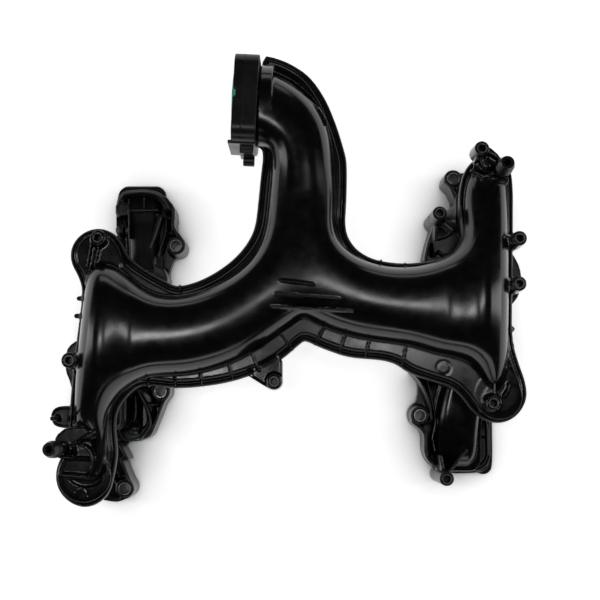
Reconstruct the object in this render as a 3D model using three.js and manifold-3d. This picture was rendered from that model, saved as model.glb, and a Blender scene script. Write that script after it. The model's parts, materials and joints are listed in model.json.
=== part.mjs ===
// Intake manifold for a 60-degree V6 engine, moulded from black glass-filled nylon.
// One throttle neck feeds a Y duct; each arm ends in a long plenum chamber, and three
// runners drop from each chamber to a flat flange that bolts to a cylinder head.
// Units are millimetres, +Z is up, z = 0 is the plane of the two cylinder-head faces.
// X runs across the engine (from bank to bank), Y runs along the crankshaft.
import * as THREE from 'three';
import { mergeVertices } from 'three/addons/utils/BufferGeometryUtils.js';
import Module from 'manifold-3d';

const wasm = await Module();
wasm.setup();

// ---------------------------------------------------------------- driving dimensions
const GAP = 0.3;              // clearance between two pieces that touch
const WELD_Z = 80;            // height of the weld plane between the two duct shells
const WALL = 3.2;             // wall thickness of the duct shells
const RIM_T = 4.0;            // thickness of each weld rim
const PLATE_T = 12;           // cylinder-head flange thickness
const SKIRT_Z = 35;           // top of the bolt lugs and of the flange skirts
const STUB_Z = 42;            // plane where the runners meet the lower shell
const PORT_X = 34, PORT_Y = 40;   // port mouth in a head flange
const STUB_X = 34, STUB_Y = 40;   // runner mouth in the plenum floor
const BORE_R = 28.5;          // throttle bore radius
const FLANGE_W = 78;          // throttle flange, side of its rounded square
const FLANGE_T = 20;          // throttle flange thickness
const THROTTLE_BOLT = 29;     // half the spacing of the four throttle screws
const LIM_R = 6.1, LIM_BORE = 5.1;      // steel compression limiters
const INS_R = 4.4, INS_BORE = 2.6, INS_L = 13;   // threaded inserts of the throttle screws
const BOSS_INS_R = 4.9, BOSS_INS_BORE = 3.3;      // threaded inserts of the bracket bosses

// Outline of the weld rim that runs round the whole Y duct, and the duct's cross sections.
// Each section row is: left wall x, y, right wall x, y, height above and below the weld plane.
const RIM = [
  [-27.5, 216.6], [-12.9, 213.6], [1.6, 207.7], [19.1, 195.8], [33.5, 175.0], [44.1, 149.4],
  [54.6, 111.2], [51.9, 46.2], [60.0, 29.9], [72.3, 20.3], [87.5, 15.0], [110.4, 12.6],
  [134.2, 15.0], [152.4, 18.8], [163.9, 25.1], [168.4, 36.6], [165.2, 51.1], [163.1, 70.4],
  [164.8, 89.8], [169.8, 104.4], [178.6, 114.2], [193.0, 119.1], [206.4, 114.2], [213.9, 99.6],
  [210.1, -58.9], [215.4, -79.7], [222.6, -99.5], [223.3, -115.5], [214.5, -129.5], [201.2, -136.5],
  [186.2, -135.1], [173.2, -125.8], [164.9, -113.6], [153.7, -102.3], [118.9, -91.5], [99.2, -80.0],
  [90.7, -77.6], [52.5, -73.1], [20.8, -60.8], [14.1, -58.4], [-4.8, -74.5], [-18.0, -83.5],
  [-32.1, -90.1], [-56.6, -98.1], [-84.0, -102.3], [-107.5, -103.7], [-131.2, -100.9], [-143.4, -101.9],
  [-155.5, -113.6], [-163.3, -126.7], [-163.9, -146.3], [-161.3, -165.0], [-164.7, -186.3], [-168.2, -201.1],
  [-178.4, -211.3], [-191.4, -215.0], [-204.5, -210.3], [-215.0, -199.3], [-218.1, -184.5], [-213.7, -169.6],
  [-205.5, -159.4], [-205.9, -138.9], [-203.1, -87.3], [-195.0, -13.3], [-199.0, 1.1], [-207.4, 15.5],
  [-207.2, 29.9], [-197.9, 42.4], [-182.7, 47.7], [-168.3, 42.9], [-159.5, 31.8], [-153.6, 18.3],
  [-134.4, 4.9], [-108.5, -9.0], [-98.1, -8.0], [-80.0, -1.8], [-61.1, 9.7], [-46.9, 22.2],
  [-36.4, 36.6], [-30.8, 51.1], [-23.3, 122.0], [-29.1, 130.8],
];
const NECK_AND_LEFT_ARM = [
  [-29.6, 128.8, -27.0, 207.7, 36, 36], [-24.3, 125.4, -3.2, 200.7, 36, 36], [-20.4, 123.9, 16.2, 187.9, 36, 36], [-18.0, 122.5, 31.1, 168.1, 35, 36], [-17.1, 120.0, 39.3, 143.5, 34, 35], [-17.5, 104.4, 43.0, 104.4, 34, 35],
  [-20.3, 65.6, 43.8, 63.6, 34, 35], [-27.8, 29.9, 38.9, 15.5, 34, 35], [-42.0, 10.7, 13.2, -36.1, 34, 35], [-77.1, -10.4, -25.6, -65.5, 34, 35], [-101.8, -17.1, -59.6, -82.6, 35, 35], [-130.3, -16.1, -121.8, -92.4, 35, 35],
  [-159.1, 5.9, -157.5, -108.0, 34, 35], [-180.2, 9.7, -178.0, -120.2, 31, 35],
];
const RIGHT_ARM = [
  [-15.5, 55.9, 41.0, 57.8, 30, 31], [-8.7, 2.0, 48.1, 35.6, 33.5, 34.5], [10.3, -35.2, 61.8, 21.2, 34, 35], [41.6, -50.4, 87.5, 10.7, 34, 35], [89.9, -60.3, 108.5, 9.7, 34, 35], [128.6, -68.4, 137.1, 15.5, 35, 35],
  [167.1, -91.0, 166.9, 36.6, 34, 35], [186.7, -101.4, 188.1, 46.2, 31, 35],
];
const LEFT_PLENUM = [
  [-183.1, 15.5, -167.8, 11.6, 8, 28], [-189.7, 9.7, -160.1, 6.8, 22, 33], [-193.1, -11.4, -155.1, -13.3, 29, 36], [-196.2, -49.4, -152.6, -49.4, 31, 36], [-199.8, -87.3, -154.9, -89.2, 29, 36], [-201.6, -115.5, -166.7, -117.3, 27, 36],
  [-202.5, -143.5, -172.9, -145.4, 25, 36], [-200.7, -164.0, -174.4, -166.8, 21, 36], [-192.1, -173.3, -179.0, -174.3, 8, 30],
];
const RIGHT_PLENUM = [
  [179.4, 108.3, 200.6, 109.3, 8, 28], [171.6, 96.6, 206.1, 97.6, 22, 33], [166.5, 75.3, 207.7, 75.3, 27, 36], [167.0, 41.4, 208.1, 41.4, 29, 36], [166.4, -1.8, 207.8, -1.8, 31, 36], [165.8, -49.4, 206.5, -49.4, 31, 36],
  [171.0, -79.7, 207.0, -75.9, 28, 36], [179.2, -98.6, 206.7, -94.8, 24, 34], [186.6, -109.8, 201.7, -108.0, 8, 28],
];
// Outlines of the two cylinder-head flanges.
const LEFT_FLANGE = [
  [-174.8, 52.0], [-175.5, 69.2], [-175.2, 82.4], [-171.8, 91.6], [-165.9, 95.7], [-145.7, 96.7],
  [-133.6, 94.7], [-129.5, 94.5], [-126.3, 91.0], [-123.1, 84.7], [-116.8, 76.4], [-116.1, 57.6],
  [-110.3, 48.2], [-106.1, 40.9], [-108.1, 33.7], [-114.3, 28.5], [-120.4, 23.3], [-125.2, -3.6],
  [-124.9, -34.5], [-123.5, -65.2], [-120.2, -93.7], [-119.0, -106.9], [-124.0, -118.1], [-132.9, -141.3],
  [-136.8, -150.4], [-143.9, -154.5], [-152.0, -157.0], [-163.1, -157.5], [-164.4, -174.6], [-154.4, -198.6],
  [-153.3, -204.6], [-158.3, -212.6], [-168.3, -216.1], [-181.5, -213.6], [-188.8, -198.6], [-187.1, -176.6],
  [-185.6, -146.4], [-187.1, -116.1], [-188.6, -85.6], [-189.1, -55.0], [-189.8, -13.9], [-189.4, 27.4],
];
const RIGHT_FLANGE = [
  [165.9, 113.0], [159.9, 111.7], [158.6, 111.0], [159.5, 102.6], [167.6, 82.7], [156.1, 73.2],
  [144.6, 62.8], [138.2, 43.0], [133.9, 25.4], [130.5, -3.6], [129.1, -44.7], [128.7, -85.6],
  [129.4, -116.1], [121.2, -122.1], [118.6, -130.2], [121.1, -138.3], [132.2, -147.4], [132.5, -166.5],
  [135.9, -176.6], [141.9, -182.6], [157.1, -186.6], [172.3, -187.6], [186.4, -188.1], [193.5, -190.6],
  [199.6, -188.6], [203.2, -182.6], [203.7, -151.4], [203.2, -116.1], [203.7, -55.0], [204.6, 6.7],
  [205.4, 58.6], [201.8, 90.0], [192.8, 111.0], [179.4, 117.2],
];
// Port centres on each head face, and the runner mouths in the plenum floors.
const LEFT_PORTS = [[-149.7, 75.0], [-155.7, -28.4], [-161.7, -131.8]];
const RIGHT_PORTS = [[169.3, 48.0], [167.3, -55.4], [164.3, -158.8]];
const LEFT_STUBS = [[-174.7, -12.9], [-175.7, -62.9], [-182.7, -118.9]];
const RIGHT_STUBS = [[188.3, 65.1], [188.3, -5.9], [191.3, -56.9]];

// ---------------------------------------------------------------- small helpers
const toSolid = (geometry) => {
  const g = geometry.clone();
  g.deleteAttribute('normal');
  g.deleteAttribute('uv');
  const m = mergeVertices(g, 1e-4);
  const tri = m.index ? Uint32Array.from(m.index.array)
    : Uint32Array.from({ length: m.attributes.position.count }, (_, i) => i);
  return new wasm.Manifold(new wasm.Mesh({
    numProp: 3, vertProperties: Float32Array.from(m.attributes.position.array), triVerts: tri,
  }));
};
const toGeometry = (solid) => {
  const m = solid.getMesh();
  const n = m.vertProperties.length / m.numProp;
  const pos = new Float32Array(n * 3);
  for (let i = 0; i < n; i++) for (let k = 0; k < 3; k++) pos[i * 3 + k] = m.vertProperties[i * m.numProp + k];
  const g = new THREE.BufferGeometry();
  g.setAttribute('position', new THREE.BufferAttribute(pos, 3));
  g.setIndex(new THREE.BufferAttribute(Uint32Array.from(m.triVerts), 1));
  g.computeVertexNormals();
  return g;
};
const union = (list) => list.reduce((a, b) => a.add(b));
const cut = (a, list) => list.reduce((s, b) => s.subtract(b), a);
// The one connected body, without the slivers that a cut can leave at a grazing face.
const largest = (solid) => solid.decompose().sort((a, b) => b.volume() - a.volume())[0];
const whole = (solid) => largest(toSolid(toGeometry(largest(solid))));

const shapeOf = (pts, holes = []) => {
  const s = new THREE.Shape(pts.map((p) => new THREE.Vector2(p[0], p[1])));
  for (const h of holes) s.holes.push(new THREE.Path(h.map((p) => new THREE.Vector2(p[0], p[1]))));
  return s;
};
const prism = (pts, z0, z1, holes = []) => toSolid(
  new THREE.ExtrudeGeometry(shapeOf(pts, holes), { depth: z1 - z0, bevelEnabled: false, steps: 1 }).translate(0, 0, z0));
const box = (x0, x1, y0, y1, z0, z1) => toSolid(
  new THREE.BoxGeometry(x1 - x0, y1 - y0, z1 - z0).translate((x0 + x1) / 2, (y0 + y1) / 2, (z0 + z1) / 2));
const roundedRect = (cx, cy, w, h, r, seg = 2) => {
  const pts = [];
  const c = [[1, 1], [-1, 1], [-1, -1], [1, -1]];
  for (let k = 0; k < 4; k++) {
    for (let i = 0; i <= seg; i++) {
      const a = (k + i / seg) * Math.PI / 2;
      pts.push([cx + c[k][0] * (w / 2 - r) + r * Math.cos(a), cy + c[k][1] * (h / 2 - r) + r * Math.sin(a)]);
    }
  }
  return pts;
};
// Turned piece on a vertical axis: profile rows are radius, height.
const lathe = (profile, seg = 20) => new THREE.LatheGeometry(
  profile.map((p) => new THREE.Vector2(p[0], p[1])), seg).rotateX(Math.PI / 2);
const post = (x, y, z0, z1, r0, r1 = r0, seg = 12) => toSolid(
  lathe([[0, z0], [r0, z0], [r1, z1], [0, z1]], seg).translate(x, y, 0));
const tubeGeometry = (ri, ro, z0, z1, seg = 12) => lathe([[ri, z0], [ro, z0], [ro, z1], [ri, z1], [ri, z0]], seg);
// A wall or rib of thickness t standing on an open path, from z0 to z1.
const wallOn = (path, t, z0, z1) => {
  const n = path.length, side = [];
  for (const s of [1, -1]) {
    const row = [];
    for (let i = 0; i < n; i++) {
      const a = path[Math.max(0, i - 1)], b = path[Math.min(n - 1, i + 1)];
      const dx = b[0] - a[0], dy = b[1] - a[1], l = Math.hypot(dx, dy);
      row.push([path[i][0] - s * dy / l * t / 2, path[i][1] + s * dx / l * t / 2]);
    }
    side.push(row);
  }
  return prism([...side[0], ...side[1].reverse()], z0, z1);
};
// Closed skin through a list of rings with the same number of points.
const skin = (rings) => {
  const n = rings[0].length, pos = [], idx = [];
  for (const r of rings) for (const p of r) pos.push(...p);
  for (let i = 0; i + 1 < rings.length; i++) {
    for (let j = 0; j < n; j++) {
      const a = i * n + j, b = i * n + (j + 1) % n, c = a + n, d = b + n;
      idx.push(a, b, c, b, d, c);
    }
  }
  for (const [ring, flip] of [[0, false], [rings.length - 1, true]]) {
    const centre = [0, 1, 2].map((k) => rings[ring].reduce((s, p) => s + p[k], 0) / n);
    const ci = pos.length / 3;
    pos.push(...centre);
    for (let j = 0; j < n; j++) {
      const a = ring * n + j, b = ring * n + (j + 1) % n;
      if (flip) idx.push(ci, a, b); else idx.push(ci, b, a);
    }
  }
  const g = new THREE.BufferGeometry();
  g.setAttribute('position', new THREE.Float32BufferAttribute(pos, 3));
  g.setIndex(idx);
  let s = toSolid(g);
  if (s.volume() < 0) {
    for (let i = 0; i < idx.length; i += 3) [idx[i], idx[i + 1]] = [idx[i + 1], idx[i]];
    g.setIndex(idx);
    s = toSolid(g);
  }
  return s;
};
const spow = (v, e) => Math.sign(v) * Math.abs(v) ** e;
// Oval duct section between two wall points, seen along the flow.
const ovalRing = ([ax, ay, bx, by, up, down], inset = 0, n = 12) => {
  const mx = (ax + bx) / 2, my = (ay + by) / 2;
  const l = Math.hypot(bx - ax, by - ay) / 2, ux = (bx - ax) / 2 / l, uy = (by - ay) / 2 / l;
  const h = Math.max(l - inset, 1), ring = [];
  for (let i = 0; i < n; i++) {
    const a = (i / n) * Math.PI * 2;
    const c = spow(Math.cos(a), 0.82), s = spow(Math.sin(a), 0.82);
    const v = s > 0 ? Math.max(up - inset, 1) * s : Math.max(down - inset, 1) * s;
    ring.push([mx + ux * h * c, my + uy * h * c, WELD_Z + v]);
  }
  return ring;
};
const duct = (rows, inset = 0) => skin(rows.map((r) => ovalRing(r, inset)));
// Runner: rings that morph from the port mouth to the plenum mouth. Each row is
// centre x, y, z, half width, half height, and the tilt of the ring (0 = level, 90 = upright across Y).
const runner = (rows, inset = 0, n = 12) => skin(rows.map(([x, y, z, hw, hh, tilt]) => {
  const t = tilt * Math.PI / 180, ring = [];
  for (let i = 0; i < n; i++) {
    const a = (i / n) * Math.PI * 2;
    const c = spow(Math.cos(a), 0.5) * (hw - inset), s = spow(Math.sin(a), 0.5) * (hh - inset);
    ring.push([x + c, y + s * Math.cos(t), z + s * Math.sin(t)]);
  }
  return ring;
}));

// ---------------------------------------------------------------- the Y duct
const ductRows = [NECK_AND_LEFT_ARM, RIGHT_ARM, LEFT_PLENUM, RIGHT_PLENUM];
const ductOuter = union(ductRows.map((r) => duct(r)));
const ductInner = union(ductRows.map((r) => duct(r, WALL)));
const BIG = 400;
const above = (z) => box(-BIG, BIG, -BIG, BIG, z, 300);
const below = (z) => box(-BIG, BIG, -BIG, BIG, -100, z);

// Vertical bosses on the upper shell: x, y, base z, top z, radius.
const SHELL_BOSSES = {
  left_post: [...[-201.7, -79.0], 72, 110, 7.2],
  left_end: [...[-180.3, 36.9], 78, 94, 7.2],
  centre_ear: [...[-13.9, -98.2], 72, 92, 7.4],
  right_end_front: [...[180.8, 119.3], 66, 108, 6.8],
  right_post_front: [...[214.9, 34.7], 66, 106, 6.8],
  right_post_rear: [...[213.7, -7.8], 66, 106, 6.8],
  right_end_rear: [...[190.1, -118.1], 78, 96, 7.0],
};
// Bosses of the lower shell and the head flanges.
const LOW_BOSSES = {
  right_front_stay: [...[145.4, 64.0], 8, 72, 6.8],
  right_rear_stay: [...[149.1, -189.7], 8, 72, 6.8],
};
const insertHole = ([x, y, , z1]) => post(x, y, z1 - INS_L - 0.5, z1 + 2, BOSS_INS_R + GAP, BOSS_INS_R + GAP, 12);
const insertMesh = ([x, y, , z1]) => tubeGeometry(BOSS_INS_BORE, BOSS_INS_R, z1 - INS_L, z1 + 0.2, 12).translate(x, y, 0);

// Arms that tie the outer bosses to the rim.
const tie = (a, b, w, z0, z1) => wallOn([a, b], w, z0, z1);
const B = SHELL_BOSSES;
const upperTies = [
  tie([B.left_post[0], B.left_post[1]], [-191.9, -78.8], 9, WELD_Z + GAP / 2, 96),
  tie([B.right_post_front[0], B.right_post_front[1]], [206.1, 37.6], 8, WELD_Z + GAP / 2, 92),
  tie([B.right_post_rear[0], B.right_post_rear[1]], [204.4, -4.7], 8, WELD_Z + GAP / 2, 92),
  tie([B.right_end_front[0], B.right_end_front[1]], [190.8, 98.6], 12, WELD_Z + GAP / 2, 92),
];
const ear = prism([[-38.7, -91.0], [-20.8, -104.2], [-13.2, -105.1], [-7.6, -100.4], [-6.2, -94.8], [-6.2, -75.9], [-18.0, -74.1]], WELD_Z + GAP / 2, WELD_Z + 7);
const nippleLeft = { base: [-208.1, -161.2, 81.0], top: [-215.7, -159.5, 122.0] };
const nippleRight = { base: [199.1, 94.8, 84.0], top: [201.0, 102.1, 126.0] };
const nippleBlock = prism([[-218.8, -152.9], [-204.0, -141.7], [-179.5, -143.5], [-179.1, -167.8], [-201.6, -169.6], [-216.6, -168.7]], WELD_Z + GAP / 2, 92);
const nipplePadR = prism([[187.1, 104.4], [207.3, 106.4], [208.8, 86.9], [188.7, 85.0]], WELD_Z + GAP / 2, 96);
const cradleWalls = union([
  wallOn([[-214.7, -170.5], [-184.7, -171.5]], 2.6, WELD_Z + GAP / 2, 93),
  wallOn([[-215.3, -183.5], [-189.1, -187.2]], 2.6, WELD_Z + GAP / 2, 90),
  wallOn([[-186.6, -169.6], [-188.1, -187.2]], 3, WELD_Z + GAP / 2, 99),
]);
// Stiffening ribs: across the crotch of the Y, on the neck elbow, and over the weld rim.
const crotchRibs = union([
  wallOn([[-14.5, -30.0], [58.2, -33.7]], 2.4, 100, 117),
  wallOn([[-11.8, -18.0], [39.8, -20.7]], 2.4, 100, 117.5),
  wallOn([[-7.2, -5.9], [19.6, -7.8]], 2.4, 100, 116.5),
]);
const rimRibs = union([
  [[-131.3, -90.1], [-132.1, -100.4]], [[-106.7, -91.0], [-105.7, -102.3]], [[-84.1, -87.3], [-82.1, -100.4]],
  [[-57.7, -79.7], [-53.8, -93.9]], [[-35.1, -68.4], [-30.3, -83.5]], [[-19.9, -58.9], [-13.3, -71.2]], [[-4.8, -47.5], [1.8, -57.0]],
  [[30.3, -45.6], [26.5, -55.1]], [[53.0, -53.2], [50.1, -64.6]], [[75.7, -58.0], [73.7, -70.3]], [[105.0, -60.8], [107.7, -79.7]],
  [[-101.8, -19.0], [-103.8, -9.4]], [[86.5, 7.8], [87.5, 13.5]], [[110.3, 6.8], [110.4, 11.6]],
].map((p) => wallOn(p, 2.4, WELD_Z + GAP / 2, WELD_Z + 11)));

const upperBosses = union(Object.values(B).map(([x, y, z0, z1, r]) => post(x, y, WELD_Z + GAP / 2, z1, r)));
const axisTurn = (p, q) => new THREE.Quaternion().setFromUnitVectors(new THREE.Vector3(0, 0, 1),
  new THREE.Vector3(q[0] - p[0], q[1] - p[1], q[2] - p[2]).normalize());
const onAxis = (geometry, p, q) => geometry.applyQuaternion(axisTurn(p, q)).translate(p[0], p[1], p[2]);
const lenOf = (p, q) => Math.hypot(q[0] - p[0], q[1] - p[1], q[2] - p[2]);
// Hose nipple: spigot buried in the shell, stem, and a barbed head with a through hole.
const nippleProfile = (len, stem, head) => [
  [3.1, 0], [stem, 0], [stem, len * 0.55], [head - 1.2, len * 0.6], [head, len * 0.68],
  [head, len * 0.86], [head - 2.2, len], [3.1, len], [3.1, 0]];
const nippleSocket = (n, r, depth) => toSolid(onAxis(lathe([[0, -1], [r + GAP, -1], [r + GAP, depth], [0, depth]], 12), n.base, n.top));

let upper = ductOuter.intersect(above(WELD_Z + GAP / 2));
upper = union([upper, prism(RIM, WELD_Z + GAP / 2, WELD_Z + RIM_T), upperBosses, ear, nippleBlock, nipplePadR, cradleWalls, crotchRibs, rimRibs, ...upperTies]);
upper = cut(upper, [ductInner, ...Object.values(B).map(insertHole)]);
upper = cut(upper, [nippleSocket(nippleLeft, 4.6, 100), nippleSocket(nippleRight, 4.6, 100)]);

// Lower shell: floor of the duct, its own slightly wider rim, the outer lobes and the runner stubs.
const grow = (pts, d) => {
  const n = pts.length;
  let area = 0;
  for (let i = 0; i < n; i++) area += pts[i][0] * pts[(i + 1) % n][1] - pts[(i + 1) % n][0] * pts[i][1];
  const s = Math.sign(area);
  return pts.map((p, i) => {
    const a = pts[(i + n - 1) % n], b = pts[(i + 1) % n];
    const dx = b[0] - a[0], dy = b[1] - a[1], l = Math.hypot(dx, dy);
    return [p[0] + s * d * dy / l, p[1] - s * d * dx / l];
  });
};
const stubAt = ([x, y], w, h, z0, z1) => prism(roundedRect(x, y, w, h, 9), z0, z1);
const leftLobe = prism([[-197.3, -56.0], [-208.8, -60.8], [-214.5, -69.5], [-214.1, -88.8], [-208.1, -98.4], [-205.9, -115.6], [-206.4, -140.4], [-186.2, -144.3], [-187.6, -57.9]], 54, 64);
const rightLobe = prism([[205.1, 35.6], [212.8, 29.7], [218.5, 21.8], [223.1, 12.1], [224.8, -1.6], [221.7, -15.3], [215.7, -23.0], [209.8, -28.9], [194.3, -28.9], [195.3, 35.6]], 54, 64);
const pegTab = union([
  prism([[-201.4, -121.2], [-216.6, -121.2], [-223.1, -124.9], [-224.9, -131.5], [-221.9, -139.0], [-214.3, -141.8], [-201.0, -142.7]], 68, 76),
  post(...[-216.9, -132.2], 70, 104, 3, 2.3, 12),
]);
const cablePeg = post(...[-39.7, 120.6], 52, 60, 4, 4, 12);
let lower = ductOuter.intersect(below(WELD_Z - GAP / 2));
lower = union([lower, prism(grow(RIM, 1.6), WELD_Z - RIM_T, WELD_Z - GAP / 2), leftLobe, rightLobe, pegTab,
  ...LEFT_STUBS.map((p) => stubAt(p, STUB_X + 10, STUB_Y + 8, STUB_Z + GAP / 2, 60)),
  ...RIGHT_STUBS.map((p) => stubAt(p, STUB_X + 10, STUB_Y + 8, STUB_Z + GAP / 2, 60)),
]);
lower = cut(lower, [ductInner,
  ...LEFT_STUBS.map((p) => stubAt(p, STUB_X, STUB_Y, 30, 66)),
  ...RIGHT_STUBS.map((p) => stubAt(p, STUB_X, STUB_Y, 30, 66))]);

// ---------------------------------------------------------------- head flanges and runners
// Level rings from a port straight up to its stub; the end runners first run along the flange.
const short = ([px, py], [sx, sy]) => {
  const rows = [];
  for (let i = 0; i <= 3; i++) {
    const t = i / 3, e = t * t * (3 - 2 * t);
    rows.push([px + (sx - px) * e, py + (sy - py) * e, 4 + (STUB_Z - GAP / 2 - 4) * t,
      (PORT_X + 8) / 2 + ((STUB_X - PORT_X) / 2) * e, (PORT_Y + 8) / 2 + ((STUB_Y - PORT_Y) / 2) * e, 0]);
  }
  return rows;
};
const long = ([px, py], [sx, sy]) => {
  const d = Math.sign(sy - py);
  const y = (k) => py + (sy - py) * k, x = (k) => px + (sx - px) * k;
  return [
    [px, py - d * 2, 3, 21, 24, 0],
    [px, py - d * 1, 12, 21, 22.5, -d * 12],
    [x(0.02), y(0.12), 19, 21, 19, -d * 42],
    [x(0.08), y(0.28), 24, 21, 16.5, -d * 74],
    [x(0.25), y(0.50), 26, 21, 15, -d * 90],
    [x(0.55), y(0.72), 27, 21, 15.5, -d * 90],
    [x(0.85), y(0.90), 31, 21, 18, -d * 48],
    [sx, sy, STUB_Z - GAP / 2, (STUB_X + 8) / 2, (STUB_Y + 8) / 2, 0],
  ];
};
const extendDown = (rows, dz) => [[rows[0][0], rows[0][1], rows[0][2] - dz, ...rows[0].slice(3)], ...rows];
const extendUp = (rows, dz) => { const l = rows[rows.length - 1]; return [...rows, [l[0], l[1], l[2] + dz, ...l.slice(3)]]; };

const bank = (outline, ports, stubs, longIndex, skirts, lugs, extras) => {
  const rows = ports.map((p, i) => (i === longIndex ? long(p, stubs[i]) : short(p, stubs[i])));
  let body = union([prism(outline, 0, PLATE_T), ...rows.map((r) => runner(r)),
    ...skirts.map((s) => wallOn(s, 3.4, 0, SKIRT_Z)),
    ...lugs.map(([x, y]) => post(x, y, 0, SKIRT_Z, LIM_R + 3.4)), ...extras,
    ...stubs.map((p) => stubAt(p, STUB_X + 10, STUB_Y + 8, STUB_Z - 5, STUB_Z - GAP / 2))]);
  body = cut(body, [...rows.map((r) => runner(extendUp(extendDown(r, 10), 10), 4)),
    ...ports.map((p) => prism(roundedRect(p[0], p[1], PORT_X, PORT_Y, 11), -5, 10.5)),
    ...lugs.map(([x, y]) => post(x, y, -1, SKIRT_Z + 1, LIM_R + GAP)),
    ...ports.map(([x, y]) => prism(roundedRect(x, y, PORT_X + 12 + GAP * 2, PORT_Y + 12 + GAP * 2, 17), -1, 3,
      [roundedRect(x, y, PORT_X + 4 - GAP * 2, PORT_Y + 4 - GAP * 2, 13)]))]);
  body = body.intersect(below(STUB_Z - GAP / 2));
  const hollows = union([...rows.map((r) => runner(extendUp(extendDown(r, 10), 10), 4)), ...ports.map((p) => prism(roundedRect(p[0], p[1], PORT_X, PORT_Y, 11), -5, 10.5))]);
  return { body, hollows, rows: rows[longIndex] };
};
const LEFT_LUGS = [[-113.3, 37.5], [-127.1, -107.5], [-161.0, -202.1]];
const RIGHT_LUGS = [[164.1, 105.2], [138.8, 13.0], [128.4, -131.0]];
const leftBank = bank(LEFT_FLANGE, LEFT_PORTS, LEFT_STUBS, 0, [
  [[-123.1, 82.7], [-117.8, 75.3], [-117.6, 56.5], [-111.3, 47.2]],
  [[-121.1, -100.9], [-120.5, -108.0], [-126.0, -119.1], [-134.4, -141.3], [-138.8, -150.4], [-145.9, -153.4]],
  [[-165.9, -174.6], [-156.5, -198.6], [-155.9, -204.6], [-160.3, -210.6], [-169.4, -214.1], [-179.5, -212.6]],
], LEFT_LUGS, []);
const rightBank = bank(RIGHT_FLANGE, RIGHT_PORTS, RIGHT_STUBS, 2, [
  [[159.1, 107.8], [161.6, 100.5], [168.6, 83.7]],
  [[147.7, 61.8], [140.2, 42.0], [136.5, 25.4]],
  [[123.1, -137.3], [133.7, -148.4], [134.0, -166.5], [138.0, -175.6]],
], RIGHT_LUGS, []);
const L = LOW_BOSSES;
const stays = [...Object.values(L).map(([x, y, z0, z1, r]) => post(x, y, z0, z1, r)),
  wallOn([[L.right_rear_stay[0], L.right_rear_stay[1]], [145.9, -165.4]], 3, 8, 52),
  wallOn([[L.right_rear_stay[0], L.right_rear_stay[1]], [164.2, -163.5]], 3, 8, 52),
  wallOn([[L.right_front_stay[0], L.right_front_stay[1]], [162.9, 48.9]], 4, 8, 50),
  wallOn([[L.right_front_stay[0], L.right_front_stay[1]], [145.0, 31.0]], 3, 8, 44)].map((s) => s.subtract(rightBank.hollows));
const lowBossHoles = Object.values(LOW_BOSSES).map(insertHole);

// The end runners are two mouldings: a channel on the flange and a welded cover over it.
const splitSlab = (yPort, yStub, z0, z1, lift, thick) => {
  // slanted slab across X, from z0 at the port to z1 at the stub
  const y0 = yPort - Math.sign(yStub - yPort) * 60, y1 = yStub + Math.sign(yStub - yPort) * 60;
  const k = (z1 - z0) / (yStub - yPort), f = (y) => z0 + (y - yPort) * k + lift;
  const g = new THREE.ExtrudeGeometry(shapeOf([[y0, f(y0)], [y1, f(y1)], [y1, f(y1) + thick], [y0, f(y0) + thick]]),
    { depth: 2 * BIG, bevelEnabled: false });
  g.translate(0, 0, -BIG);
  g.applyMatrix4(new THREE.Matrix4().makeBasis(new THREE.Vector3(0, 1, 0), new THREE.Vector3(0, 0, 1), new THREE.Vector3(1, 0, 0)));
  return toSolid(g);
};
const coverSplit = (bankParts, port, stub, inwardSign) => {
  const d = Math.sign(stub[1] - port[1]);
  const yA = port[1] - d * 29, yB = stub[1] - d * 27;      // stretch that the cover spans
  const win = (x0, x1) => box(x0, x1, Math.min(yA, yB), Math.max(yA, yB), 13, 70);
  const full = runner(bankParts.rows), hollow = runner(extendUp(extendDown(bankParts.rows, 10), 10), 4);
  const z0 = 20, z1 = 27;
  const upperHalf = splitSlab(port[1], stub[1], z0, z1, GAP / 2, 80);
  const rimRows = bankParts.rows.map(([x, y, z, hw, hh, t]) => [x, y, z, hw + 4.5, hh + 4.5, t]);
  const rimSkin = runner(rimRows);
  let cover = union([full.intersect(upperHalf), rimSkin.intersect(splitSlab(port[1], stub[1], z0, z1, GAP / 2, 3))]).intersect(win(-BIG, BIG));
  cover = cover.subtract(hollow).intersect(below(STUB_Z - GAP / 2));
  const roomy = runner(bankParts.rows, -GAP), roomyRim = runner(rimRows, -GAP);
  const clearance = union([roomy.intersect(splitSlab(port[1], stub[1], z0, z1, -GAP / 2, 80)),
    roomyRim.intersect(splitSlab(port[1], stub[1], z0, z1, -GAP / 2, 3 + 2 * GAP))])
    .intersect(box(-BIG, BIG, Math.min(yA, yB) - GAP, Math.max(yA, yB) + GAP, 13 - GAP, 70));
  const ledge = rimSkin.intersect(splitSlab(port[1], stub[1], z0, z1, -3 - GAP / 2, 3)).intersect(win(-BIG, BIG)).subtract(hollow);
  return { cover, clearance, ledge };
};
const leftSplit = coverSplit(leftBank, LEFT_PORTS[0], LEFT_STUBS[0]);
const rightSplit = coverSplit(rightBank, RIGHT_PORTS[2], RIGHT_STUBS[2]);
const leftBody = whole(cut(leftBank.body.add(leftSplit.ledge), [leftSplit.clearance]));
const rightBody = whole(cut(union([rightBank.body, rightSplit.ledge, ...stays]), [rightSplit.clearance, ...lowBossHoles]));

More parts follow.
